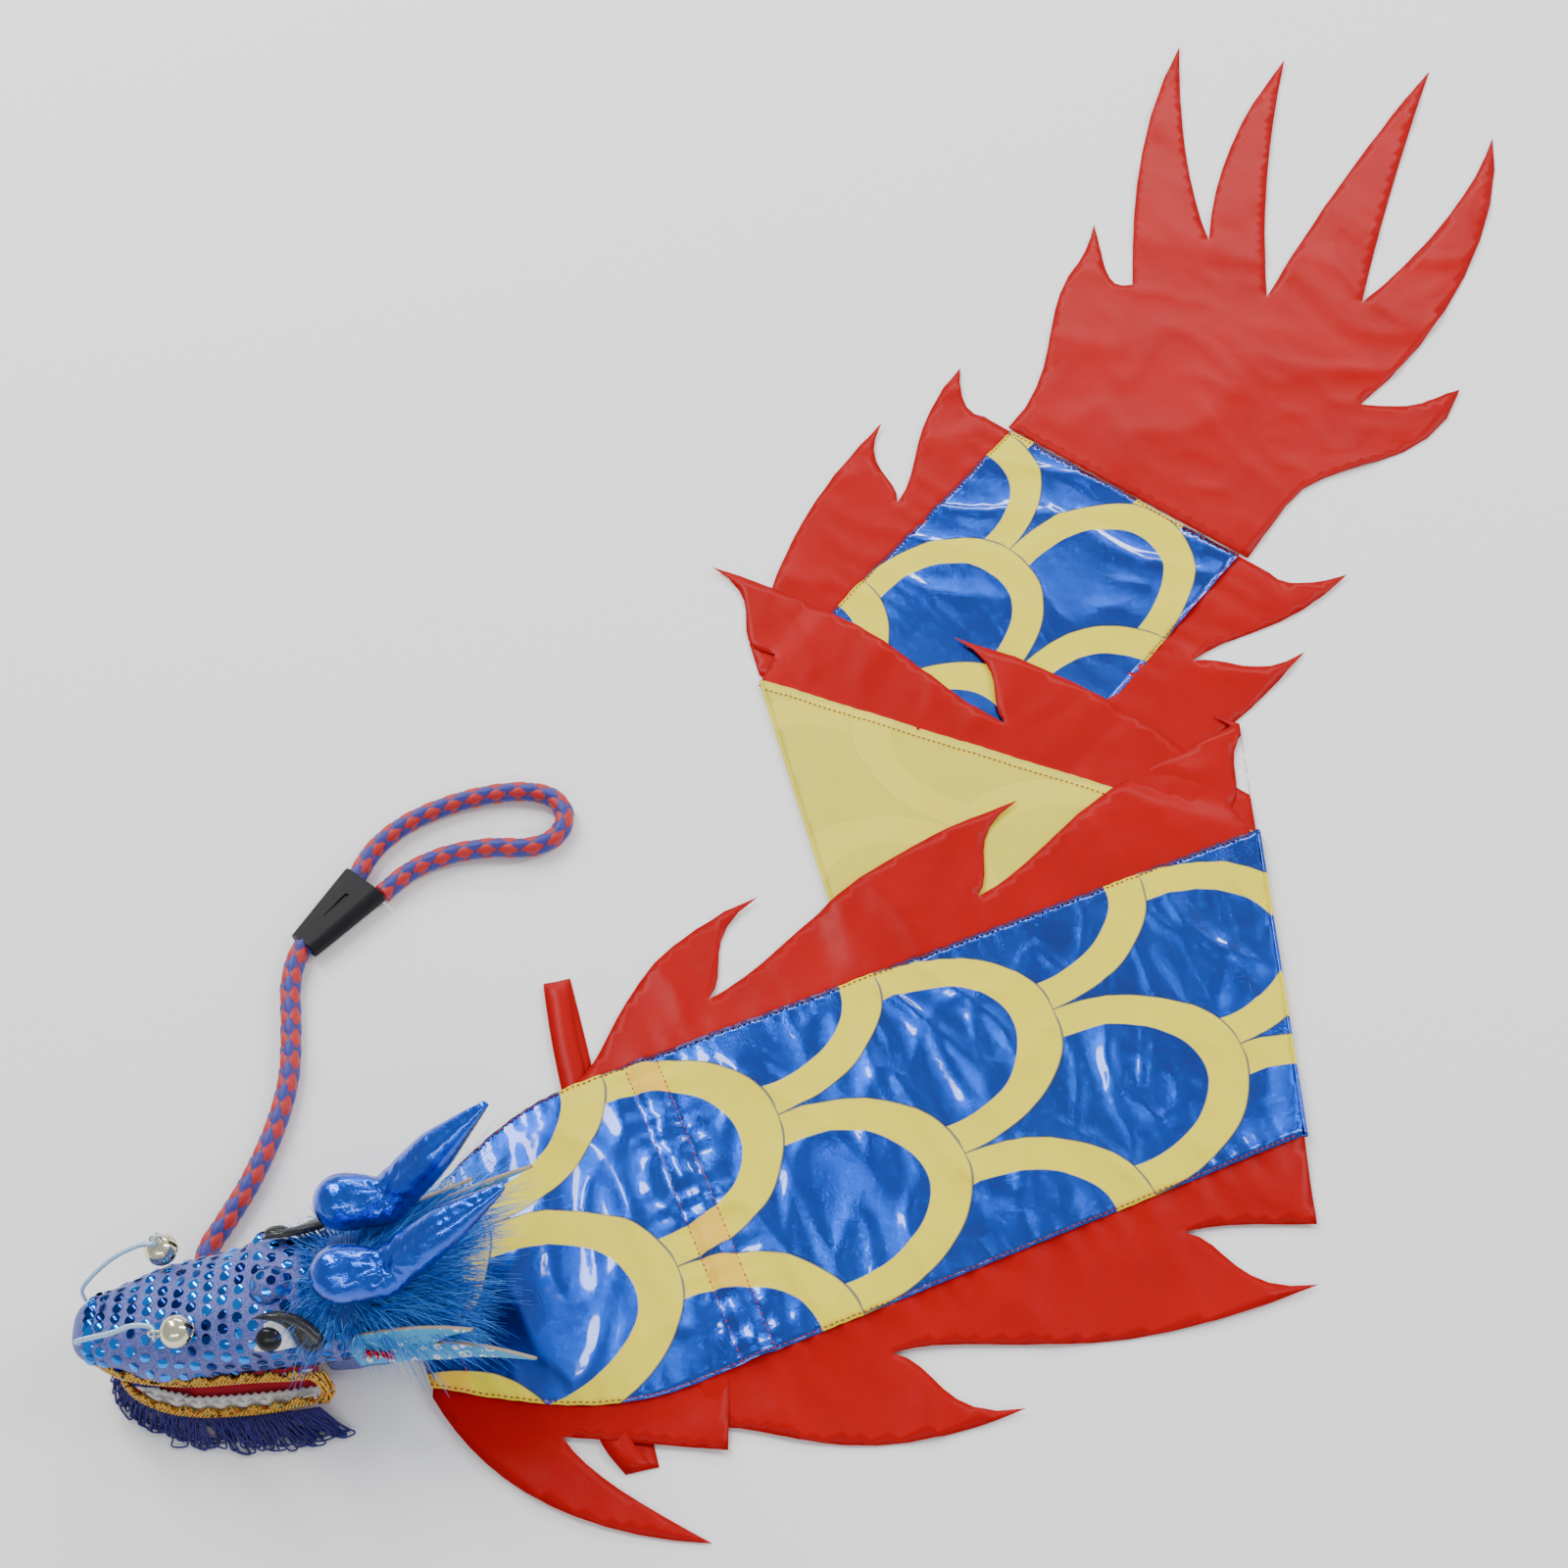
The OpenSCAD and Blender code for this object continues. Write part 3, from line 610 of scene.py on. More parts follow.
def support(level, x, y):
    """Height of what lies below a loose edge: level 2 lies on both lower lengths, 1 on the rear one."""
    base = 0.5
    if level >= 1:
        base += 2.6 * cover(REAR_AREA, x, y)
    if level >= 2:
        base += (MIDDLE_Z + 2.2 - base) * cover(MIDDLE_AREA, x, y)
    return base


def creases(u, v, seed, size=1.0):
    """Wrinkles that run mostly across the ribbon, from 0 to about 1."""
    warp = noise.noise(Vector((u / 120, v / 120, seed))) * 0.8
    wide = ridge(u / 62 + v / 260 + warp, v / 240, seed)
    fine = ridge(u / 24 - v / 90, v / 60 + warp, seed + 7)
    return size * (0.68 * wide ** 3 + 0.32 * fine ** 3)


def pucker(u, gap):
    """Gathers at a seam that fade away from it."""
    return 0.6 * math.exp(-gap / 9) * math.sin(u * 0.55 + 1.7 * math.sin(u * 0.11))


def channel(u, start):
    """A sewn channel over a flat stay: a low rounded rise between two stitch lines."""
    inner = min(u - start, start + CASING_W - u)
    if inner < -6:
        return 0.0
    return 2.6 * smooth_step(inner, 0, 6) - 0.7 * math.exp(-abs(inner) / 1.6)


def fold_calm(gap):
    """Wrinkles fade out towards a fold."""
    return smooth_step(gap, 0, 22)


HOOP_GATHER = 34


def front_height(u, v):
    gap = neck_half(u) - abs(v)
    to_fold = (fold_u(v, FOLD_FRONT_ANGLE, FRONT_HEADING) - u)
    rise = creases(u, v, 3.0, 4.2) * fold_calm(to_fold) * (0.35 + 0.65 * smooth_step(gap, 0, 20))
    rise += channel(u, HOOP_U) + 0.5 * channel(u, CASING_U)
    from_hoop = abs(u - HOOP_U - CASING_W / 2)
    if from_hoop < HOOP_GATHER:
        gather = 0.5 * math.sin(v * 0.42 + 1.3 * math.sin(v * 0.13))
        rise += gather * smooth_step(HOOP_GATHER - from_hoop, 0, 20)
    return FRONT_Z + rise + pucker(u, gap)


def middle_height(u, v):
    gap = HALF_W - abs(v)
    ends = min(u - fold_u(v, FOLD_FRONT_ANGLE, MIDDLE_HEADING),
               MIDDLE_LEN + fold_u(v, FOLD_REAR_ANGLE, MIDDLE_HEADING) - u)
    return MIDDLE_Z + creases(u * 0.7, v * 0.7, 11.0, 1.7) * fold_calm(ends) + 0.5 * pucker(u, gap)


FLAME_REACH = 84
COVERED_OUTLINE = [(-MIDDLE_START, -HALF_W - FLAME_REACH), (MIDDLE_LEN - MIDDLE_END, -HALF_W - FLAME_REACH),
                   (MIDDLE_LEN + MIDDLE_END, HALF_W), (MIDDLE_START, HALF_W)]
COVERED_AREA = corners(middle, COVERED_OUTLINE)


def pressed(x, y):
    """How little a rear crease may rise at a place: the middle length and its flames lie on it."""
    return 1 - 0.85 * cover(COVERED_AREA, x, y, 20.0)


def rear_height(u, v):
    gap = HALF_W - abs(v)
    to_fold = u - fold_u(v, FOLD_REAR_ANGLE, REAR_HEADING)
    x, y = (rear(u, v, 0) / MM)[:2]
    return REAR_Z + (creases(u, v, 19.0, 3.4) * fold_calm(to_fold) + 0.5 * pucker(u, gap)) * pressed(x, y)


front_sheet = cloth("front_length", FRONT_OUTLINE, 3.6, front, front_height, PRINT, CLOTH_T, under=REVERSE)
middle_sheet = cloth("middle_length", MIDDLE_OUTLINE, 5.0, middle, middle_height, REVERSE, CLOTH_T,
                     print_at=lambda u, v: (u, -v), under=PRINT)
rear_sheet = cloth("rear_length", REAR_OUTLINE, 4.0, rear, rear_height, PRINT, CLOTH_T,
                   print_at=lambda u, v: (MIDDLE_LEN + u, v), under=REVERSE)
for piece, body, nodes in ((front_sheet, "front_body", ("front_panel", "neck_casing", "hoop_casing")),
                           (middle_sheet, "middle_body", ("middle_panel",)),
                           (rear_sheet, "rear_body", ("rear_panel",))):
    worn(piece, body, *nodes)

# ---------------------------------------------------------------- flame fins
FLAME_PITCH, FLAME_H, NOTCH_H, FLAME_LEAN = 185, 82, 25, 56
LEFT_NOTCH, RIGHT_NOTCH = -149, -134
TUCK = 5


def flame(start, start_h, notch):
    """One flame from its starting notch to the next one: heights above the seam."""
    tip = (notch + FLAME_LEAN, FLAME_H)
    run = notch - start
    belly = (start + 0.3 * run, start_h + 6)
    shoulder = (start + 0.52 * run, FLAME_H)
    return traced((start, start_h), (belly, shoulder, tip, 12),
                  ((notch + 8, FLAME_H - 12), (notch + 22, NOTCH_H + 14), (notch, NOTCH_H), 8))[1:]


def flame_row(start, start_h, notches):
    line = [(start, start_h)]
    for k, notch in enumerate(notches):
        line += flame(start if k == 0 else notches[k - 1], start_h if k == 0 else NOTCH_H, notch)
    return line


def clipped(outline, keep):
    """The part of an outline where keep(point) is not negative; keep is a straight edge's distance."""
    line = []
    for a, b in zip(outline, outline[1:] + outline[:1]):
        ka, kb = keep(a), keep(b)
        if ka >= 0:
            line.append(a)
        if (ka >= 0) != (kb >= 0):
            share = ka / (ka - kb)
            line.append((a[0] + (b[0] - a[0]) * share, a[1] + (b[1] - a[1]) * share))
    return line


def fold_side(at_u, fold_angle, angle, sign):
    """Signed distance from a fold line that crosses the ribbon at at_u."""
    line = math.radians(fold_angle - angle)
    across = (math.sin(line), -math.cos(line))
    across = across if across[0] > 0 else (-across[0], -across[1])
    return lambda p: sign * ((p[0] - at_u) * across[0] + p[1] * across[1])


def add_fin(name, side, row, place, level, seam_z, body, node, seed, keep):
    """A satin flame fin sewn under the ribbon's edge; row holds heights above the seam."""
    outline = [(u, side * (HALF_W + h)) for u, h in row]
    outline += [(row[-1][0], side * (HALF_W - TUCK)), (row[0][0], side * (HALF_W - TUCK))]
    outline = clipped(outline, keep)

    def height(u, v):
        out = abs(v) - HALF_W
        x, y = (place(u, v, 0) / MM)[:2]
        low = support(level, x, y)
        rise = creases(u * 0.8, v * 1.3, seed, 2.6) * smooth_step(out, 0, 25)
        if level == 0:
            rise *= pressed(x, y)
        gather = 0.8 * math.exp(-max(out, 0) / 16) * math.sin(u * 0.3 + 2 * math.sin(u * 0.07))
        share = math.exp(-max(out, 0) / 24)
        return max(low, low * (1 - share) + (seam_z - 0.9) * share + rise + gather * (out > 0))

    obj = worn(cloth(name, outline, 6.0, place, height, SATIN, SATIN_T), body, node)


def notches(first, count, start):
    return [first + k * FLAME_PITCH for k in range(start, start + count)]


left_row = flame_row(TAPER_U, 2, notches(LEFT_NOTCH, 3, -1)) + [(LEFT_NOTCH + FLAME_PITCH, 0)]
add_fin("front_upper_flames", 1, left_row, front, 2, FRONT_Z, "front_body", "front_upper_fin", 31.0,
        keep=fold_side(0, FOLD_FRONT_ANGLE, FRONT_HEADING, -1))
right_row = flame_row(TAPER_U, NOTCH_H, notches(RIGHT_NOTCH, 3, -1)) + [(RIGHT_NOTCH + FLAME_PITCH, 0)]
add_fin("front_lower_flames", -1, right_row, front, 0, FRONT_Z, "front_body", "front_lower_fin", 37.0,
        keep=fold_side(0, FOLD_FRONT_ANGLE, FRONT_HEADING, -1))
upper_row = flame_row(LEFT_NOTCH, NOTCH_H, notches(LEFT_NOTCH, 3, 1))
upper_row += [(MIDDLE_LEN - MIDDLE_END, NOTCH_H)]
add_fin("middle_upper_flames", -1, upper_row, middle, 1, MIDDLE_Z, "middle_body", "middle_upper_fin", 41.0,
        keep=fold_side(0, FOLD_FRONT_ANGLE, MIDDLE_HEADING, 1))
first = -MIDDLE_START + 2
lower_row = flame_row(first, 2, notches(RIGHT_NOTCH, 2, 1)) + [(RIGHT_NOTCH + 2 * FLAME_PITCH, 0)]
add_fin("middle_lower_flames", 1, lower_row, middle, 1, MIDDLE_Z, "middle_body", "middle_lower_fin", 43.0,
        keep=fold_side(MIDDLE_LEN, FOLD_REAR_ANGLE, MIDDLE_HEADING, -1))
END_FLAME_H = 70


def rear_row(last_notch):
    start = last_notch - FLAME_PITCH
    tip = (REAR_LEN + 30, END_FLAME_H)
    last_flame = traced((last_notch, NOTCH_H),
                        ((last_notch + 40, NOTCH_H + 5), (last_notch + 60, NOTCH_H + 40), tip, 8),
                        ((REAR_LEN - 10, NOTCH_H + 20), (REAR_LEN - 1, NOTCH_H), 5))
    return flame_row(start, NOTCH_H, [last_notch]) + last_flame[1:]


for side, last_notch, word in ((1, 263, "left"), (-1, 270, "right")):
    add_fin(f"rear_{word}_flames", side, rear_row(last_notch), rear, 0, REAR_Z + 0.6, "rear_body",
            f"rear_{word}_fin", 47.0 + side, keep=fold_side(0, FOLD_REAR_ANGLE, REAR_HEADING, 1))


def neck_flame_outline():
    """The first flame on the tapered edge beside the neck."""
    run, rise = TAPER_U - NECK_U, HALF_W - NECK_HALF
    length = math.hypot(run, rise)
    line = traced((0, 3), ((25, 40), (70, 78), (158, FLAME_H), 12), ((120, 62), (88, 45), (74, NOTCH_H), 8))
    line += [(length + 20, NOTCH_H + 8), (length + 20, -6), (0, -6)]
    c, s = run / length, rise / length
    return [(NECK_U + x * c - y * s, -NECK_HALF - 2 - x * s - y * c) for x, y in line]


def neck_flame_height(u, v):
    out = -v - neck_half(u)
    share = math.exp(-max(out, 0) / 24)
    return max(0.5, (FRONT_Z - 1.8) * share + creases(u, v * 1.3, 53.0, 2.4) * smooth_step(out, 0, 25) + 0.6)


neck_flame = cloth("neck_flame", neck_flame_outline(), 6.0, front, neck_flame_height, SATIN, SATIN_T)
worn(neck_flame, "front_body", "front_lower_fin")

# ---------------------------------------------------------------- tail
PRONGS = traced(
    (1, 104),
    ((70, 104), (110, 150), (165, 162), 8),
    ((200, 165), (228, 180), 4),
    ((200, 150), (165, 130), (188, 116), 8),
    ((225, 140), (330, 215), (463, 249), 8),
    ((330, 165), (267, 95), 8),
    ((370, 155), (501, 166), 8),
    ((350, 100), (240, 24), 8),
    ((400, 52), (565, 60), 8),
    ((390, 5), (278, -39), 8),
    ((420, -55), (518, -25), 8),
    ((430, -85), (280, -110), (183, -93), 8),
    ((205, -135), (220, -130), (241, -145), 6),
    ((150, -175), (120, -95), (60, -102), 8)) + [(1, -106)]


def tail_height(u, v):
    seam = math.exp(-max(u, 0) / 14)
    folds = creases(u * 0.7, v * 1.1, 61.0, 2.8) * smooth_step(u, 0, 30)
    return 0.5 + folds + 0.9 * seam + 0.4 * seam * math.sin(v * 0.5)


tail_sheet = worn(cloth("tail_flames", PRONGS, 6.5, tail, tail_height, SATIN, SATIN_T), "tail", "tail_flame")

# ---------------------------------------------------------------- leash
ROPE_D, ROPE_Z = 13, 7
ROPE_ROUTE = [
    (-382, -433.6), (-397, -434.6), (-411, -437), (-428, -442), (-445, -449), (-462, -452), (-477, -446),
    (-485, -433), (-484, -417), (-476, -401), (-464, -376), (-453, -342), (-448, -309), (-450, -274),
    (-453, -244), (-449, -220), (-434, -197), (-419, -170), (-407, -146), (-387, -127), (-360, -114),
    (-333, -107), (-308, -106), (-290, -113), (-283, -128), (-289, -143), (-306, -150), (-332, -149),
    (-358, -153), (-382, -164), (-400, -181)]
PLAIT_RUN = 15.0
PLAITS = 4
ROPE_STEP, ROPE_SIDES = 1.1, 36


def even_points(line, step):
    """Points every step along a line of arrays, and its length."""
    gaps = [np.linalg.norm(b - a) for a, b in zip(line, line[1:])]
    along = np.concatenate(([0], np.cumsum(gaps)))
    stations = np.linspace(0, along[-1], int(along[-1] / step) + 1)
    points = [Vector([np.interp(t, along, [p[i] for p in line]) for i in range(3)]) for t in stations]
    return points, along[-1]


def braid_shader():
    """Red and violet flat tapes: the first flat coordinate is a tape's number, the second runs across it.
    Each tape darkens towards its edges, which is painted shade in the braid's grooves.
    """
    shader = Shader("leash_braid", roughness=0.48)
    tape, across = shader.uv()
    violet = shader.step(tape, 0.4, 0.6)
    where = shader.place()
    speck = shader.noise(where, 0.7, 2.0)
    red = shader.mix(speck, (0.36, 0.0, 0.002), (0.52, 0.002, 0.004))
    blue = shader.mix(speck, (0.012, 0.011, 0.17), (0.035, 0.03, 0.32))
    # edge darkens each tape towards its rim: painted shade in the grooves between the tapes.
    edge = shader.step(across, 0.78, 1.0)
    tone = shader.mix(violet, red, blue)
    shader.set("Base Color", shader.mix(shader.times(edge, 0.7), tone, (0.02, 0.005, 0.02)))
    ribs = shader.noise(where, 0.5, 1.0)
    shader.bump(ribs, 0.5, 0.35)
    shader.set("Sheen Weight", 0.15)
    return shader


def add_rope():
    """A round braid: each cell of its diamond grid is one flat tape that passes over the other."""
    line = spline([(x, y, ROPE_Z) for x, y in ROPE_ROUTE], 6)
    points, length = even_points(line, ROPE_STEP)
    ring_verts, ring_uv = [], []
    for k, p in enumerate(points):
        run = (points[min(k + 1, len(points) - 1)] - points[max(k - 1, 0)]).normalized()
        side = run.cross(UP).normalized()
        for j in range(ROPE_SIDES):
            turn = j / ROPE_SIDES
            a = turn * PLAITS + k * ROPE_STEP / PLAIT_RUN
            b = turn * PLAITS - k * ROPE_STEP / PLAIT_RUN
            over = (math.floor(a) + math.floor(b)) % 2
            fa, fb = a % 1, b % 1
            wide, long = (fb, fa) if over else (fa, fb)
            out = abs(wide * 2 - 1)
            crown = (1 - out ** 4) * (1 - abs(long * 2 - 1) ** 3 * 0.75)
            r = ROPE_D / 2 * (0.86 + 0.16 * crown)
            angle = 2 * math.pi * turn
            ring_verts.append((p + (side * math.cos(angle) + UP * math.sin(angle)) * r) * MM)
            ring_uv.append((float(over), max(out, abs(long * 2 - 1) ** 2)))
    rope = add_mesh("leash", ring_verts, tube_faces(len(points), ROPE_SIDES), braid_shader())
    add_uv(rope, ring_uv)
    return worn(rope, "front_body", "leash_rope"), points, length


RUBBER = Shader("black_rubber", roughness=0.5)
RUBBER.mottle(RUBBER.place(), 9.0, (0.003, 0.003, 0.004), (0.009, 0.009, 0.01))
RUBBER.bump(RUBBER.noise(RUBBER.place(), 0.6, 3.0), 0.35, 0.25)
RUBBER.set("Specular IOR Level", 0.2)


def paint(node, shader):
    """Gives a carried-over CAD node its material."""
    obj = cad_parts[node]
    obj.data.materials.clear()
    obj.data.materials.append(shader.material)
    return obj


ferrule = paint("rope_ferrule", RUBBER)
paint("leash_anchor", RUBBER)
rope, rope_points, rope_length = add_rope()
rope_path = [tuple(p * MM) for p in rope_points[::4] + rope_points[-1:]]
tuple(rope_path[0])

# ---------------------------------------------------------------- head materials
def glitter_mesh():
    shader = Shader("glitter_mesh", roughness=0.42, metallic=0.15)
    where = shader.place()
    net = shader.cells(where, 1.3)
    # Scattered glitter flecks, painted much brighter than their own colour: painted glints.
    fleck_glint = shader.step(shader.noise(where, 0.35, 1.0), 0.66, 0.76)
    base = shader.mix(shader.noise(where, 14.0, 3.0), (0.035, 0.045, 0.24), (0.07, 0.09, 0.36))
    base = shader.mix(shader.step(net, 0.25, 0.6), base, (0.11, 0.13, 0.42))
    shader.set("Base Color", shader.mix(fleck_glint, base, (0.5, 0.55, 0.95)))
    shader.bump(shader.plus(net, shader.noise(where, 0.3, 1.0)), 0.6, 0.35)
    return shader


def sequin_film():
    """Each sequin's first flat coordinate is its own tone, from navy to azure."""
    shader = Shader("sequin_film", roughness=0.12, metallic=1.0)
    tone, _ = shader.uv()
    shader.set("Base Color", shader.mix(tone, (0.006, 0.02, 0.16), (0.01, 0.26, 0.95)))
    shader.bump(shader.noise(shader.place(), 2.0, 2.0), 0.3, 0.2)
    return shader


def lame():
    shader = Shader("blue_lame", roughness=0.2, metallic=0.95)
    where = shader.place()
    shader.mottle(where, 12.0, (0.001, 0.05, 0.5), (0.002, 0.11, 0.75), 3.0)
    shader.set("Roughness", shader.step(shader.noise(where, 6.0, 3.0), 0.3, 0.7, 0.16, 0.3))
    shader.bump(shader.noise(where, 7.0, 4.0, 0.6), 0.6, 1.6)
    shader.set("Coat Weight", 0.8)
    shader.set("Coat Roughness", 0.08)
    return shader


def gimp_shader():
    shader = Shader("gold_gimp", roughness=0.34, metallic=0.75)
    where = shader.place()
    gold = shader.mix(shader.noise(where, 1.6, 2.0), (0.42, 0.17, 0.01), (0.95, 0.58, 0.1))
    dark = shader.step(shader.noise(where, 1.9, 1.0), 0.6, 0.66)
    color = shader.mix(dark, gold, (0.03, 0.015, 0.02))
    red = shader.step(shader.noise(where, 2.7, 1.0), 0.66, 0.7)
    color = shader.mix(red, color, (0.6, 0.02, 0.02))
    green = shader.step(shader.noise(where, 3.3, 1.0), 0.67, 0.71)
    shader.set("Base Color", shader.mix(green, color, (0.02, 0.35, 0.18)))
    shader.bump(shader.noise(where, 0.6, 2.0), 0.6, 0.4)
    return shader


def fibre(name, dark, light, roughness=0.6):
    shader = Shader(name, roughness=roughness)
    where = shader.place()
    shader.mottle(where, 5.0, dark, light, 3.0)
    shader.bump(shader.noise(where, 0.5, 2.0), 0.5, 0.3)
    return shader


def glossy(name, dark, light):
    shader = Shader(name, roughness=0.22)
    where = shader.place()
    shader.mottle(where, 6.0, dark, light)
    shader.set("Roughness", shader.step(shader.noise(where, 3.0, 3.0), 0.3, 0.7, 0.16, 0.34))
    shader.set("Specular IOR Level", 0.3)
    shader.bump(shader.noise(where, 2.4, 3.0), 0.25, 0.3)
    return shader


GLITTER = glitter_mesh()
SEQUIN = sequin_film()
LAME = lame()
GIMP = gimp_shader()
VELOUR = fibre("crimson_velour", (0.45, 0.004, 0.018), (0.66, 0.014, 0.04), 0.75)
FELT = fibre("white_felt", (0.72, 0.72, 0.7), (0.88, 0.88, 0.86), 0.8)
YARN = fibre("indigo_yarn", (0.004, 0.003, 0.07), (0.02, 0.012, 0.22), 0.5)
FUR = fibre("blue_fur", (0.002, 0.085, 0.5), (0.01, 0.2, 0.8), 0.42)
# A darker copy of the blue fur, for the solid base under the mane's hairs: painted shade deep in the pile.
FUR_SHADE = fibre("fur_painted_shade", (0.001, 0.03, 0.2), (0.003, 0.07, 0.38), 0.6)
# A paler copy of the blue fur, for a quarter of the mane's hairs: painted sheen.
FUR_SHEEN = fibre("fur_painted_sheen", (0.02, 0.28, 0.85), (0.12, 0.45, 0.95), 0.45)
LID = glossy("eyelid_leatherette", (0.012, 0.012, 0.014), (0.04, 0.04, 0.045))
PUPIL = glossy("pupil_vinyl", (0.003, 0.003, 0.004), (0.015, 0.015, 0.018))
WHITE = glossy("eye_vinyl", (0.75, 0.75, 0.74), (0.86, 0.86, 0.85))
TINSEL = Shader("red_tinsel", roughness=0.2, metallic=0.9)
TINSEL.mottle(TINSEL.place(), 2.0, (0.4, 0.003, 0.012), (0.95, 0.03, 0.05))
BELL = Shader("bell_metal", metallic=1.0)
BELL.mottle(BELL.place(), 5.0, (0.66, 0.6, 0.38), (0.85, 0.81, 0.66), 3.0)
BELL.set("Roughness", BELL.step(BELL.noise(BELL.place(), 1.5, 3.0), 0.3, 0.7, 0.1, 0.26))
LUREX = Shader("lurex_cord", roughness=0.3, metallic=0.5)
LUREX.mottle(LUREX.place(), 0.9, (0.16, 0.42, 0.7), (0.75, 0.9, 1.0))
LUREX.bump(LUREX.noise(LUREX.place(), 0.7, 2.0), 0.8, 0.5)

# ---------------------------------------------------------------- head cover and sequins
def from_node(name, *nodes, shader=None):
    """A new piece that starts from CAD solids, with their shape in its own mesh."""
    verts, faces = [], []
    for node in nodes:
        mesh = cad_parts[node].data
        faces += [tuple(i + len(verts) for i in polygon.vertices) for polygon in mesh.polygons]
        verts += [v.co.copy() for v in mesh.vertices]
    return add_mesh(name, verts, faces, shader)


def softened(obj, voxel, rounds, grow=0.0):
    """Remeshes a piece, rounds its edges off and grows it by a few tenths of a millimetre."""
    remesh = obj.modifiers.new("remesh", "REMESH")
    remesh.mode = "VOXEL"
    remesh.voxel_size = voxel * MM
    remesh.use_smooth_shade = True
    smooth = obj.modifiers.new("round", "SMOOTH")
    smooth.factor = 0.5
    smooth.iterations = rounds
    if grow:
        swell = obj.modifiers.new("grow", "DISPLACE")
        swell.mid_level = 0
        swell.strength = grow * MM
    shader = obj.data.materials[0] if obj.data.materials else None
    applied(obj)
    obj.data.polygons.foreach_set("use_smooth", [True] * len(obj.data.polygons))
    if shader and not obj.data.materials:
        obj.data.materials.append(shader)
    return obj


def add_ball(obj, centre, radius):
    """Joins a ball to a piece before it is remeshed."""
    made = bmesh.new()
    made.from_mesh(obj.data)
    bmesh.ops.create_icosphere(made, subdivisions=3, radius=radius * MM, matrix=Matrix.Translation(centre))
    made.to_mesh(obj.data)
    made.free()


KNOB_AT, KNOB_R = (56, 4, 75), 11
BROW_BUMP, BROW_BUMP_R = (60, 22, 62), 13
cover_piece = from_node("head_skin", "head_core", shader=GLITTER)
add_ball(cover_piece, head(KNOB_AT[0] - 2, KNOB_AT[1], KNOB_AT[2] - 6), 10)
for side in (-1, 1):
    add_ball(cover_piece, head(BROW_BUMP[0], side * BROW_BUMP[1], BROW_BUMP[2]), BROW_BUMP_R)
softened(cover_piece, 2.2, 10, 1.5)
worn(cover_piece, "head", "head_core", "head_cover")
throat = worn(softened(from_node("throat", "throat_pad", shader=GLITTER), 2.5, 8, 0.6), "head", "throat_pad")

knob = from_node("forehead_knob", shader=GLITTER)
add_ball(knob, head(*KNOB_AT), KNOB_R)
knob.data.polygons.foreach_set("use_smooth", [True] * len(knob.data.polygons))
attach(knob, "head")

SEQUIN_R, SEQUIN_RUN, SEQUIN_TURN, SEQUIN_SIDES = 3.0, 8.8, 13.5, 12
SEQUIN_ROWS, SEQUIN_START, SEQUIN_END, SEQUIN_REACH = 22, -6, 172, 2.2
SNOUT_AXIS_Z, SNOUT_END = 44, 158
SEQUIN_TONES = (0.0, 0.05, 0.1, 0.35, 0.6, 0.9, 1.0)


def add_sequins():
    """Discs in staggered rows round the snout, each lying on the cover with a small tilt of its own."""
    rnd = random.Random(4)
    tree = BVHTree.FromObject(cover_piece, bpy.context.evaluated_depsgraph_get())
    verts, faces, flat = [], [], []
    for row in range(SEQUIN_ROWS):
        x = SEQUIN_START + row * SEQUIN_RUN
        turn = SEQUIN_TURN * (1 + 0.75 * smooth_step(x, 70, 165))
        for k in range(-10, 11):
            angle = math.radians((k + 0.5 * (row % 2)) * turn + rnd.uniform(-1.2, 1.2))
            if abs(angle) > SEQUIN_REACH or x > SEQUIN_END:
                continue
            x_here = x + rnd.uniform(-0.6, 0.6)
            from_x = min(x_here, SNOUT_END)
            centre = head(from_x, 0, SNOUT_AXIS_Z)
            outward = (head(from_x + max(0, x_here - SNOUT_END) * 1.2, math.sin(angle) * 100,
                            SNOUT_AXIS_Z + math.cos(angle) * 100) - centre).normalized()
            hit, normal, _, _ = tree.ray_cast(centre + outward * 0.09, -outward)
            if hit is None or hit.z < head(0, 0, 36).z - 0.002:
                continue
            tilt = Vector((rnd.gauss(0, 0.14), rnd.gauss(0, 0.14), rnd.gauss(0, 0.14)))
            up = (normal + tilt).normalized()
            side = up.cross(Vector((0.3, 0.9, 0.2))).normalized()
            across = up.cross(side)
            start = len(verts)
            tone = rnd.choice(SEQUIN_TONES)
            verts.append(hit + up * (0.75 * MM))
            for reach, lift in ((0.75, 0.6), (1.0, 0.3)):
                verts += ring(hit + up * (lift * MM), side, across, SEQUIN_R * reach * MM, SEQUIN_SIDES)
            inner, outer = start + 1, start + 1 + SEQUIN_SIDES
            for j in range(SEQUIN_SIDES):
                after = (j + 1) % SEQUIN_SIDES
                faces += [(start, inner + j, inner + after),
                          (inner + j, outer + j, outer + after, inner + after)]
            flat += [(tone, 0.0)] * (1 + 2 * SEQUIN_SIDES)
    sequins = add_mesh("sequins", verts, faces, SEQUIN)
    add_uv(sequins, flat)
    worn(sequins, "head")


add_sequins()


KNOB_SEQUINS = 16


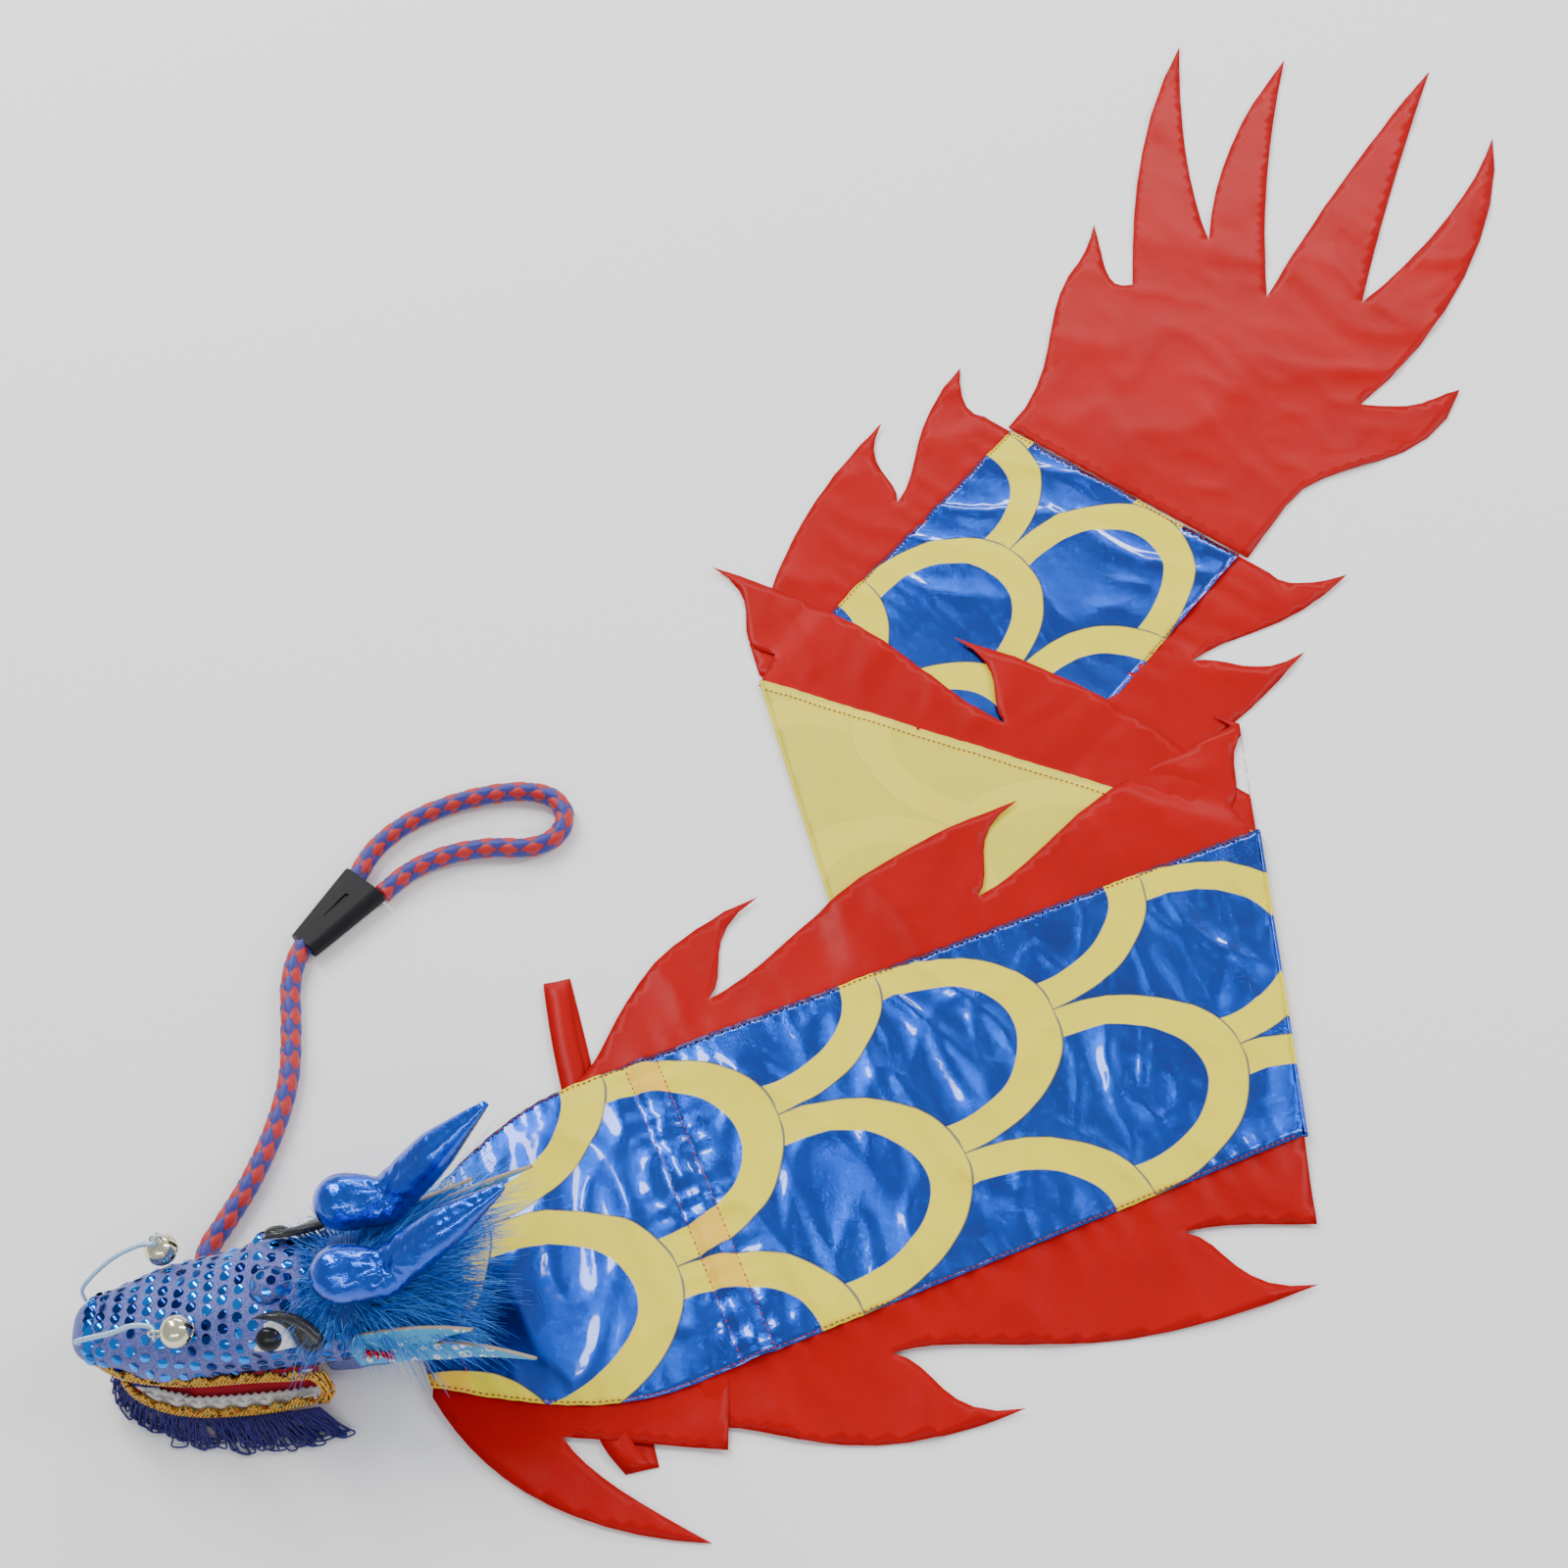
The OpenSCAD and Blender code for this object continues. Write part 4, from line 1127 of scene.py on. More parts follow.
def add_knob_sequins():
    """A few discs spread evenly over the forehead knob's upper half."""
    verts, faces, flat = [], [], []
    for k in range(KNOB_SEQUINS):
        rise = 1 - 1.1 * (k + 0.5) / KNOB_SEQUINS
        turn = k * 2.4
        flat_r = math.sqrt(1 - rise * rise)
        up = Vector((flat_r * math.cos(turn), flat_r * math.sin(turn), rise))
        side = up.cross(Vector((0.3, 0.9, 0.2))).normalized()
        across = up.cross(side)
        centre = head(*KNOB_AT) + up * ((KNOB_R + 0.4) * MM)
        start = len(verts)
        verts.append(centre)
        verts += ring(centre - up * (0.3 * MM), side, across, 2.6 * MM, SEQUIN_SIDES)
        faces += [(start, start + 1 + j, start + 1 + (j + 1) % SEQUIN_SIDES) for j in range(SEQUIN_SIDES)]
        flat += [((k * 0.37) % 1, 0.0)] * (1 + SEQUIN_SIDES)
    discs = add_mesh("knob_sequins", verts, faces, SEQUIN)
    add_uv(discs, flat)
    worn(discs, "head")


add_knob_sequins()

SKIRT_FRONT, SKIRT_TURN = 4, 1.45


def add_skirt():
    """The cover's loose hem: it bridges the back of the head and the ribbon's neck."""
    verts = []
    rows, columns = 10, 44
    for k in range(rows + 1):
        t = k / rows
        for j in range(columns + 1):
            turn = SKIRT_TURN * (2 * j / columns - 1)
            near = head(SKIRT_FRONT, 34 * math.sin(turn), 38 + 31 * math.cos(turn))
            neck = front(NECK_U + 3, NECK_HALF * math.sin(turn) * 0.97, FRONT_Z + 6 * math.cos(turn) + 1.2)
            fold = 0.8 * math.sin(j * 1.1 + 2 * t) * math.sin(math.pi * t)
            here = near.lerp(neck, t)
            here.z += (6 * math.sin(math.pi * t) + fold) * MM
            verts.append(here)
    skirt = applied(thicken(add_mesh("neck_skirt", verts, grid_faces(rows + 1, columns + 1), GLITTER), 0.7))
    tuple(head(SKIRT_FRONT, 0, 40))
    tuple(front(NECK_U + 3, 0, FRONT_Z))
    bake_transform(skirt)


add_skirt()

# ---------------------------------------------------------------- lips, mouth and beard
UPPER_LIP = [(42, 33), (60, 34), (82, 34), (105, 33), (128, 29), (146, 23), (158, 15), (165, 7), (167, 0)]
LOWER_LIP = [(44, 31.5), (62, 32), (84, 31.5), (106, 30), (124, 26), (139, 19), (149, 10), (152, 0)]


GIMP_R, GIMP_WIRES, GIMP_PEAK = 0.75, 4, 16


def both_sides(half, z):
    """A lip's line from the left cheek round the front to the right cheek."""
    left = [(x, y, z) for x, y in half]
    right = [(x, -y, z) for x, y in reversed(half[:-1])]
    return left + right


def gimp_line(place, half, z, dip, corner):
    """A lip's line in even steps that dips along its length and rises by corner at its ends."""
    line, _ = even_points(spline(both_sides(half, z), 8), 0.7)
    span = max(p.x for p in line) - min(p.x for p in line)
    return [place(p.x, p.y, p.z - dip * math.sin(math.pi * min(1, (p.x - line[0].x) / span))
                  + corner * (1 - smooth_step(p.x, 42, 84)) ** 1.5) for p in line]


def add_gimp(name, place, half, z, dip, corner, body, node):
    """Metallic braid: wires wound round the lip's line, with small looped peaks."""
    core = gimp_line(place, half, z, dip, corner)
    count = len(core)
    outs, overs = [], []
    for k in range(count):
        run = (core[min(k + 1, count - 1)] - core[max(k - 1, 0)]).normalized()
        outs.append(run.cross(UP).normalized())
        overs.append(outs[-1].cross(run).normalized())
    lines = []
    for strand in range(GIMP_WIRES):
        angles = [k * 0.55 + 2 * math.pi * strand / GIMP_WIRES for k in range(count)]
        lines.append([core[k] + (outs[k] * math.cos(angle) + overs[k] * math.sin(angle)) * 1.7 * MM
                      for k, angle in enumerate(angles)])
    for start in range(4, count - GIMP_PEAK, GIMP_PEAK + 2):
        for turn in range(3):
            crest = UP * ((7.5 - 2.0 * turn) * MM)
            lines.append([core[start + j] + crest * math.sin(math.pi * j / GIMP_PEAK)
                          + outs[start + j] * (1.3 * math.sin(j * 1.9 + turn) * MM)
                          for j in range(GIMP_PEAK + 1)])
    worn(add_tubes(name, lines, GIMP_R, 5, GIMP), body, node)


UPPER_LIP_Z, LOWER_LIP_Z = 31.5, 4.0
add_gimp("upper_gimp", head, UPPER_LIP, UPPER_LIP_Z, -1.0, -5.0, "head", "upper_lip_trim")
add_gimp("lower_gimp", jaw, LOWER_LIP, LOWER_LIP_Z, 0.0, 9.0, "lower_jaw", "lower_lip_trim")

for name, node, shader, body, voxel in (("palate", "palate_lining", VELOUR, "head", 1.2),
                                        ("jaw_pad", "lower_jaw", VELOUR, "lower_jaw", 1.5)):
    pad = worn(softened(from_node(name, node, shader=shader), voxel, 5, 0.2), body, node)


def zigzag_strip(name, place, half, inset, z, height, body, node, point):
    """A felt strip round a lip, with a pinked edge; point is 1 upwards and -1 downwards."""
    line, _ = even_points(spline(both_sides(half, z), 8), 1.6)
    verts = []
    for k, p in enumerate(line):
        inwards = math.copysign(inset, p.y) if abs(p.y) > inset else p.y
        base = p - Vector((inset if p.x > 140 else 0, inwards, 0))
        tooth = height * (0.2, 0.55, 1.0, 0.55)[k % 4]
        verts += [place(*base), place(base.x, base.y * 0.94, base.z + point * (1.5 + tooth))]
    faces = [(2 * k, 2 * k + 2, 2 * k + 3, 2 * k + 1) for k in range(len(line) - 1)]
    worn(thicken(add_mesh(name, verts, faces, FELT, smooth=False), 1.1), body, node)


zigzag_strip("upper_fangs", head, UPPER_LIP, 1.2, UPPER_LIP_Z - 1, 6.5, "head", "upper_teeth", -1)
zigzag_strip("lower_fangs", jaw, LOWER_LIP, 3.0, LOWER_LIP_Z + 0.5, 5.0, "lower_jaw", "lower_teeth", 1)


def add_gum():
    """White lining of the lower jaw: a band of felt inside the teeth that leaves the tongue bare."""
    line, _ = even_points(spline(both_sides(LOWER_LIP, 6.4), 8), 2.2)
    verts = []
    for k, p in enumerate(line):
        jag = 1.6 if k % 2 else 0.0
        verts += [jaw(p.x - (3 if p.x > 130 else 0), p.y * 0.9, 6.4 + 0.5 * math.sin(k * 0.7)),
                  jaw(p.x - (4 if p.x > 130 else 0) - 1, p.y * 0.82, 7.6),
                  jaw(p.x - (8 if p.x > 120 else 2), p.y * 0.7 + jag * math.copysign(1, p.y), 8.2)]
    faces = []
    for k in range(len(line) - 1):
        a, b = 3 * k, 3 * k + 3
        faces += [(a, b, b + 1, a + 1), (a + 1, b + 1, b + 2, a + 2)]
    worn(thicken(add_mesh("jaw_gum", verts, faces, FELT), 0.9), "lower_jaw", "jaw_lining")


add_gum()

LOOPS, WISPS = 280, 26
OVER_ROPE = (15.5, 17)


def add_beard():
    """Looped yarn that hangs from the lower lip and splays on the floor."""
    rnd = random.Random(8)
    line, _ = even_points(spline(both_sides(LOWER_LIP, -0.5), 8), 1.0)
    lines = []
    for n in range(LOOPS):
        share = n / (LOOPS - 1)
        k = int(share * (len(line) - 14))
        p = line[k]
        q = line[min(len(line) - 1, k + rnd.randint(5, 13))]
        right_side = p.y < -4
        top_a, top_b = jaw(p.x, p.y * 1.03, p.z), jaw(q.x, q.y * 1.03, q.z)
        out = Vector(((p.x - LIP_CENTRE) * 0.012, p.y * 0.03, 0))
        out = out.normalized() if out.length > 0.1 else Vector((1, 0, 0))
        back = smooth_step(p.x, 140, 80)
        reach = rnd.uniform(2, 7) if right_side else rnd.uniform(3, 9) + 12 * back * rnd.random()
        lean = rnd.uniform(-4, 4) - 15 * back * rnd.random()
        low = head_floor(p.x + out.x * reach + lean, p.y + JAW_SHIFT + out.y * (reach + 3), 0)
        low.z = rnd.uniform(1.0, 3.5) * MM
        if right_side:
            low.z = rnd.uniform(*OVER_ROPE) * MM
        low_b = low + (top_b - top_a) * 0.6 + Vector((rnd.uniform(-2, 2), rnd.uniform(-2, 2), 0)) * MM
        drop = UP * (top_a.z - low.z)
        shape = [top_a, top_a.lerp(low, 0.3) + drop * 0.12, top_a.lerp(low, 0.75) - drop * 0.12,
                 low, low_b, top_b.lerp(low_b, 0.75) - drop * 0.1, top_b.lerp(low_b, 0.3), top_b]
        lines.append([Vector(v) for v in spline(shape, 4)])
        for v in lines[-1]:
            v.z = max(v.z, 0.8 * MM)
    worn(add_tubes("beard", lines, 0.55, 5, YARN), "lower_jaw", "beard_fringe")
    wisps = []
    for _ in range(WISPS):
        y0 = rnd.uniform(-9, 12)
        start = (146 + rnd.uniform(-4, 1), y0, 8 + rnd.uniform(0, 2))
        end = (118 + rnd.uniform(-12, 8), y0 * 0.8 + rnd.uniform(-4, 6), 9.2 + rnd.uniform(0, 2.5))
        mid = ((start[0] + end[0]) / 2, (start[1] + end[1]) / 2 + rnd.uniform(-2, 2), 11.5)
        wisps.append([jaw(*v) for v in spline([start, mid, end], 5)])
    worn(add_tubes("tongue_yarn", wisps, 0.6, 5, YARN), "lower_jaw", "mouth_yarn")


add_beard()


def add_mouth_corners():
    """Bunched gimp that closes each corner of the mouth."""
    rnd = random.Random(31)
    loops = []
    for side in (-1, 1):
        for _ in range(16):
            top = head(rnd.uniform(36, 45), side * rnd.uniform(31, 34), rnd.uniform(26, 31))
            low = jaw(rnd.uniform(36, 46), side * rnd.uniform(29, 33), rnd.uniform(7, 12))
            out = head(30, side * rnd.uniform(34, 39), 24) - head(36, side * 32, 24)
            loop = [top, top.lerp(low, 0.35) + out, top.lerp(low, 0.7) + out * 0.8, low]
            loops.append([Vector(p) for p in spline(loop, 5)])
    worn(add_tubes("mouth_corners", loops, GIMP_R, 5, GIMP), "head")


add_mouth_corners()

# ---------------------------------------------------------------- eyes
BROW_AT, BROW_R, EYE_TURN = (50, 9, 52), 24, 46


def eye_frame(side):
    """On the cover beside the brow: x towards the snout, y up, z outwards."""
    turn = math.radians(EYE_TURN)
    seat = BROW_R + 1.45
    return lambda x, y, z: head(BROW_AT[0] + x,
                                side * (BROW_AT[1] + (seat + z) * math.sin(turn) - y * math.cos(turn)),
                                BROW_AT[2] + (seat + z) * math.cos(turn) + y * math.sin(turn))


def puffed(name, outline, place, base, rise, shader, step=1.2, crown=6.0):
    """A flat cut-out that domes up within crown of its edge, like padded vinyl."""
    flat, faces = filled(outline, step)
    edge = edge_distance(np.array(flat), resampled(outline, step))
    dome = [math.sqrt(max(0.0, 1 - (1 - min(1.0, d / crown)) ** 2)) for d in edge]
    top = [place(u, v, base + rise * share) for (u, v), share in zip(flat, dome)]
    return thicken(add_mesh(name, top, faces, shader), 0.8)


SCLERA = [(-8, -9), (3, -10), (14, -9), (17, -3), (8, 5), (-2, 8)]
IRIS = [(7 * math.cos(a) + 6, 6.5 * math.sin(a) - 3) for a in np.linspace(0, 6.0, 20)]
BROW = traced((-24, -8), ((-18, 8), (-2, 16), (14, 9), 9), ((2, 9), (-8, 2), (-9, -8), 8),
              ((-12, -13), (-20, -14), (-24, -8), 5))

for side, word in ((1, "left"), (-1, "right")):
    eye = eye_frame(side)
    worn(puffed(f"{word}_sclera", SCLERA, eye, 2.4, 1.6, WHITE), "head", f"{word}_eye_white")
    worn(puffed(f"{word}_iris", IRIS, eye, 3.6, 3.6, PUPIL, 1.0, 7.0), "head", f"{word}_pupil")
    worn(puffed(f"{word}_lid", BROW, eye, 4.0, 3.4, LID, 1.4, 4.0), "head", f"{word}_eyelid")

# ---------------------------------------------------------------- mane
LOCKS, HAIRS = 620, 13
MANE_LOW = 11


def pointed(share):
    """A hair's taper from root to tip."""
    return 1.2 - share


def add_mane():
    """Long pile in locks that radiate from between the horns and lie back over the neck."""
    rnd = random.Random(12)
    lines, pale = [], []
    for _ in range(LOCKS):
        x0 = rnd.uniform(-34, 34)
        around = rnd.uniform(-1.1, 0.9)
        r = rnd.uniform(24, 33)
        root = (x0, math.sin(around) * (r + 5), 42 + math.cos(around) * r)
        ahead = smooth_step(x0, -6, 34)
        reach = rnd.uniform(20, 34) if ahead > 0.4 else rnd.uniform(28, 52)
        back = 0.55 * ahead - (1 - ahead) * rnd.uniform(0.5, 1.0)
        out_y = math.sin(around) * rnd.uniform(0.3, 0.9) + rnd.uniform(-0.3, 0.3)
        up = math.cos(around) * rnd.uniform(0.2, 0.7)
        droop = rnd.uniform(8, 20)
        for _ in range(HAIRS):
            start = [c + rnd.gauss(0, 2.6) for c in root]
            length = reach * rnd.uniform(0.7, 1.15)
            spread = [rnd.gauss(0, 0.13) for _ in range(3)]
            bend = rnd.uniform(-3, 3)
            line = []
            for k in range(7):
                t = k / 6
                point = head(start[0] + (back + spread[0]) * length * t,
                             start[1] + (out_y + spread[1]) * length * t + bend * math.sin(math.pi * t),
                             start[2] + (up + spread[2]) * length * t - droop * t * t)
                point.z = max(point.z, MANE_LOW * MM)
                line.append(point)
            # A quarter of the hairs, chosen at random, take the paler copy of the fur: painted sheen.
            (pale if rnd.random() < 0.25 else lines).append(line)
    worn(add_tubes("mane", lines, 0.3, 3, FUR, taper=pointed), "head", "fur_mane")
    worn(add_tubes("mane_sheen_hairs", pale, 0.3, 3, FUR_SHEEN, taper=pointed), "head")
    # The solid base under the hairs takes the darker copy of the fur: painted shade deep in the pile.
    worn(softened(from_node("mane_base", "fur_mane", shader=FUR_SHADE), 1.5, 4), "head")


add_mane()

# ---------------------------------------------------------------- horns
PRESSURE, SIM_FRAMES, PUFF_CAP = 4.0, 20, 0.006


def puff_up(obj):
    """Blows a closed cloth up a little, as stuffing does, and caps how far a point moves."""
    rest = np.array([v.co for v in obj.data.vertices])
    cloth_modifier = obj.modifiers.new("cloth", "CLOTH")
    settings = cloth_modifier.settings
    settings.use_pressure = True
    settings.uniform_pressure_force = PRESSURE
    settings.effector_weights.gravity = 0
    settings.quality = 5
    cloth_modifier.point_cache.frame_start = 1
    cloth_modifier.point_cache.frame_end = SIM_FRAMES
    scene = bpy.context.scene
    for number in range(1, SIM_FRAMES + 1):
        scene.frame_set(number)
    applied(obj)
    moved = np.array([v.co for v in obj.data.vertices]) - rest
    far = np.linalg.norm(moved, axis=1, keepdims=True)
    moved *= np.minimum(1, PUFF_CAP / np.maximum(far, 1e-9))
    obj.data.vertices.foreach_set("co", (rest + moved).ravel())
    scene.frame_set(1)


HORN_FOOT = {1: (-8, 12, 90), -1: (-8, -32, 90)}
HORN_TIP = {1: (-78, -6, 134), -1: (-70, -53, 142)}


def add_horn(side, word):
    """Stuffed lame horn: a puffed lobe, a pinched tuft and a spike with gathered wrinkles along its seam."""
    horn = softened(from_node(f"{word}_horn_skin", f"{word}_horn", shader=LAME), 2.4, 6)
    puff_up(horn)
    foot, tip = head(*HORN_FOOT[side]), head(*HORN_TIP[side])
    pinch = foot + Vector((6, -2, 13)) * MM
    lobe = head(HORN_FOOT[side][0] + 21, HORN_FOOT[side][1], HORN_FOOT[side][2] + 4)
    run = (tip - foot).normalized()
    seam_side = run.cross(UP).normalized()
    for v in horn.data.vertices:
        from_foot = v.co - foot
        along = from_foot.dot(run)
        across = from_foot - run * along
        if across.length > 1e-6:
            turn = math.atan2(across.dot(seam_side), across.z)
            near_seam = math.exp(-abs(turn) / 0.5)
            v.co -= across.normalized() * (1.6 * MM * math.exp(-abs(turn) / 0.13)
                                           + 0.5 * MM * near_seam * (1 + math.sin(along / MM * 2.1)))
        from_lobe = v.co - lobe
        swell = math.exp(-(from_lobe.length / (17 * MM)) ** 4)
        v.co += from_lobe.normalized() * (3.2 * MM * swell)
        gap = (v.co - pinch).length / MM
        if gap < 22:
            spoke = math.atan2(v.co.y - pinch.y, v.co.x - pinch.x)
            depth = math.exp(-gap / 6)
            gathers = 1.8 * math.exp(-gap / 12) * math.sin(spoke * 12)
            v.co -= (v.co - foot).normalized() * (8.5 * depth + gathers) * MM
    finer = horn.modifiers.new("finer", "SUBSURF")
    finer.levels = finer.render_levels = 1
    applied(horn)
    worn(horn, f"{word}_horn", f"{word}_horn")


add_horn(1, "left")
add_horn(-1, "right")

# ---------------------------------------------------------------- cheek fins and bows
CHEEK_ROOT, CHEEK_TURN, CHEEK_TILT, CHEEK_LEAN = (12, 38, 42), 13, 6, 12


def cheek_frame(side):
    """On a cheek fin: u forward, v up, w outwards."""
    turn, tilt, lean = math.radians(CHEEK_TURN), math.radians(CHEEK_TILT), math.radians(CHEEK_LEAN)

    def place(u, v, w):
        v, w = v * math.cos(lean) + w * math.sin(lean), w * math.cos(lean) - v * math.sin(lean)
        ahead = u * math.cos(tilt) + v * math.sin(tilt)
        above = -u * math.sin(tilt) + v * math.cos(tilt)
        return head(CHEEK_ROOT[0] + ahead * math.cos(turn) + w * math.sin(turn),
                    side * (CHEEK_ROOT[1] - ahead * math.sin(turn) + w * math.cos(turn)),
                    CHEEK_ROOT[2] + above)
    return place


CHEEK_OUTLINE = traced((0, 0), ((6, 12), (-2, 24), 6), ((-30, 34), (-70, 33), 8), ((-50, 26), (-46, 20), 5),
                       ((-70, 24), (-102, 14), 7), ((-66, 14), (-52, 8), 6), ((-20, 6), (0, 0), 6))[1:]


def foam_print():
    """Sky-blue foam with white rings and dots."""
    shader = Shader("cheek_foam", roughness=0.55)
    u, v = shader.uv()
    flat = shader.vector(u, v, 0.0)
    where = shader.place()
    ground = shader.mix(shader.noise(where, 8.0), (0.03, 0.3, 0.58), (0.07, 0.4, 0.68))
    distance = shader.cells(flat, 8.5)
    rings = shader.times(shader.step(distance, 0.34, 0.3), shader.step(distance, 0.17, 0.21))
    dots = shader.step(shader.cells(flat, 3.6), 0.2, 0.14)
    marks = shader.math("MAXIMUM", rings, dots)
    shader.set("Base Color", shader.mix(marks, ground, (0.85, 0.88, 0.9)))
    shader.bump(shader.noise(where, 0.7, 2.0), 0.3, 0.25)
    return shader


FOAM = foam_print()
FOAM_EDGE = fibre("foam_edge", (0.3, 0.22, 0.14), (0.45, 0.34, 0.24), 0.8)
BOW_SPIKES, BOW_U, BOW_V, BOW_W = 170, -14, 14, 3.0


def add_cheek(side, word):
    place = cheek_frame(side)
    flat, faces = filled(CHEEK_OUTLINE, 3.0)
    curl = [1.5 * math.sin(u / 24.0) * smooth_step(-u, 10, 70) for u, _ in flat]
    points = [place(u, v, w) for (u, v), w in zip(flat, curl)]
    fin = add_mesh(f"{word}_cheek_flame", points, faces, FOAM)
    add_uv(fin, flat)
    fin.data.materials.append(FOAM_EDGE.material)
    thicken(fin, 2.2).modifiers["thickness"].material_offset_rim = 1
    worn(fin, f"{word}_cheek_fin", f"{word}_cheek_fin")
    rnd = random.Random(20 + side)
    spikes = []
    for n in range(BOW_SPIKES):
        wing = rnd.choice((-1, 1)) if n % 8 else 0
        base = place(BOW_U + wing * rnd.uniform(0, 8),
                     BOW_V + rnd.uniform(-1, 1) * (0.6 + abs(wing) * 1.6), BOW_W)
        way = place(BOW_U + wing * rnd.uniform(6, 13), BOW_V + rnd.uniform(-8, 8),
                    BOW_W + rnd.uniform(1.0, 5.0)) - base
        way = way.normalized() * rnd.uniform(2.0, 4.2) * MM
        spikes.append([base, base + way * 0.5, base + way])
    bow = add_tubes(f"{word}_tinsel_bow", spikes, 0.5, 3, TINSEL, taper=pointed)
    worn(bow, f"{word}_cheek_fin", f"{word}_bow")


add_cheek(1, "left")
add_cheek(-1, "right")

# ---------------------------------------------------------------- feelers and bells
FEELERS = {
    "left": [(163, 13, 54.2), (163, 15, 60), (154, 17, 65.5), (141, 18, 70), (129, 17, 73.5),
             (119, 19, 73.5), (116.6, 23, 73), (116.6, 26, 73)],
    "right": [(163, -13, 54.2), (163, -16, 61), (154, -21, 68.5), (142, -26, 74.5), (130, -30, 76),
              (123, -32, 73), (122, -35, 72.6), (122, -38, 72.6)]}
STRANDS, LAY_R = 5, 0.95
for word, route in FEELERS.items():
    wires = []
    for strand in range(STRANDS):
        wire = []
        for k, (x, y, z) in enumerate(spline(route, 14)):
            angle = k * 0.9 + strand * 2 * math.pi / STRANDS
            wire.append(head(x + 0.25 * math.sin(angle), y + LAY_R * math.cos(angle),
                             z + LAY_R * math.sin(angle)))
        wires.append(wire)
    worn(add_tubes(f"{word}_feeler_cord", wires, 0.62, 5, LUREX), f"{word}_feeler", f"{word}_feeler")
    paint(f"{word}_bell", BELL)
    paint(f"{word}_bell_pea", BELL)

STAY_PLASTIC = fibre("stay_plastic", (0.6, 0.58, 0.5), (0.78, 0.76, 0.7))


def add_stay(name, start, half):
    """A thin flat plastic stay inside a sewn channel."""
    verts = []
    stations = np.linspace(-half, half, 60)
    for v in stations:
        for u in (start + 5, start + CASING_W - 5):
            verts.append(front(u, v, front_height(u, v) - 1.5))
    strip = thicken(add_mesh(f"{name}_strip", verts, grid_faces(len(stations), 2), STAY_PLASTIC), 0.5)
    worn(strip, "front_body", name)


add_stay("neck_stay", CASING_U, NECK_HALF - 9)
add_stay("hoop_stay", HOOP_U, HALF_W - 6)

# ---------------------------------------------------------------- strap, stitches and folds
STRAP_TOP, STRAP_BOTTOM, STRAP_W = (-416, 175), (-470, -132), 16


def add_strap():
    """A flattened loop of satin tape under the front length, open where it shows at the bottom."""
    top, bottom = Vector(STRAP_TOP), Vector(STRAP_BOTTOM)
    run = (top - bottom).normalized()
    side = Vector((-run.y, run.x))
    length = (top - bottom).length
    verts, faces = [], []
    stations = np.linspace(0, length, 70)
    for layer in (0, 1):
        for t in stations:
            sag = 13 * math.sin(math.pi * min(1.0, t / 60)) * layer + 3 * math.sin(t / 47 + 2 * layer)
            lift = 0.6 + 2.3 * layer * smooth_step(min(t, length - t), 0, 7)
            for across in (-0.5, 0, 0.5):
                here = bottom + run * t + side * (across * STRAP_W + sag)
                x, y = (front(here.x, here.y, 0) / MM)[:2]
                verts.append(Vector((x * MM, y * MM, (lift + 0.35 * math.cos(across * 5 + t / 9)) * MM)))
    count = len(stations)
    for layer in (0, 1):
        for k in range(count - 1):
            base = (layer * count + k) * 3
            faces += [(base, base + 3, base + 4, base + 1), (base + 1, base + 4, base + 5, base + 2)]
    worn(thicken(add_mesh("strap", verts, faces, SATIN), 0.5), "front_body", "under_strap")


add_strap()


STITCH_STEP, STITCH_DASH, STITCH_PITCH, STITCH_R = 0.9, 2, 4, 0.38


def stitches(name, body, lines):
    """Dashes of thread that follow lines of points; a dash and a pitch are counted in steps."""
    dashes = []
    for line in lines:
        points, _ = even_points([np.array(p) for p in line], STITCH_STEP * MM)
        dashes += [points[k:k + STITCH_DASH + 1] for k in range(0, len(points) - STITCH_DASH, STITCH_PITCH)]
    worn(add_tubes(name, dashes, STITCH_R, 4, THREAD), body)


def seam(place, height, start, end, side, half, inset=1.6):
    """Points along a sewn edge, on top of the cloth."""
    stations = [(u, side * (half(u) - inset)) for u in np.arange(start, end, 2.0)]
    return [place(u, v, height(u, v) + 0.5) for u, v in stations]


def across_line(place, height, u, half):
    return [place(u, v, height(u, v) + 0.45) for v in np.arange(-half + 1, half - 1, 2.0)]


def full_width(u):
    return HALF_W


front_seams, middle_seams, rear_seams = [], [], []
for side in (-1, 1):
    edge_v = side * HALF_W
    front_seams.append(seam(front, front_height, NECK_U, fold_u(edge_v, FOLD_FRONT_ANGLE, FRONT_HEADING) - 4,
                            side, neck_half))
    middle_seams.append(seam(middle, middle_height, fold_u(edge_v, FOLD_FRONT_ANGLE, MIDDLE_HEADING) + 4,
                             MIDDLE_LEN + fold_u(edge_v, FOLD_REAR_ANGLE, MIDDLE_HEADING) - 4,
                             side, full_width, inset=7))
    rear_seams.append(seam(rear, rear_height, fold_u(edge_v, FOLD_REAR_ANGLE, REAR_HEADING) + 4, REAR_LEN - 2,
                           side, full_width))
for start, half in ((CASING_U, NECK_HALF), (HOOP_U, HALF_W)):
    front_seams += [across_line(front, front_height, start + along, half) for along in (0, CASING_W)]
stitches("front_stitches", "front_body", front_seams)
stitches("middle_stitches", "middle_body", middle_seams)
rear_seams.append(across_line(rear, rear_height, REAR_LEN - 3, HALF_W))
stitches("rear_stitches", "rear_body", rear_seams)


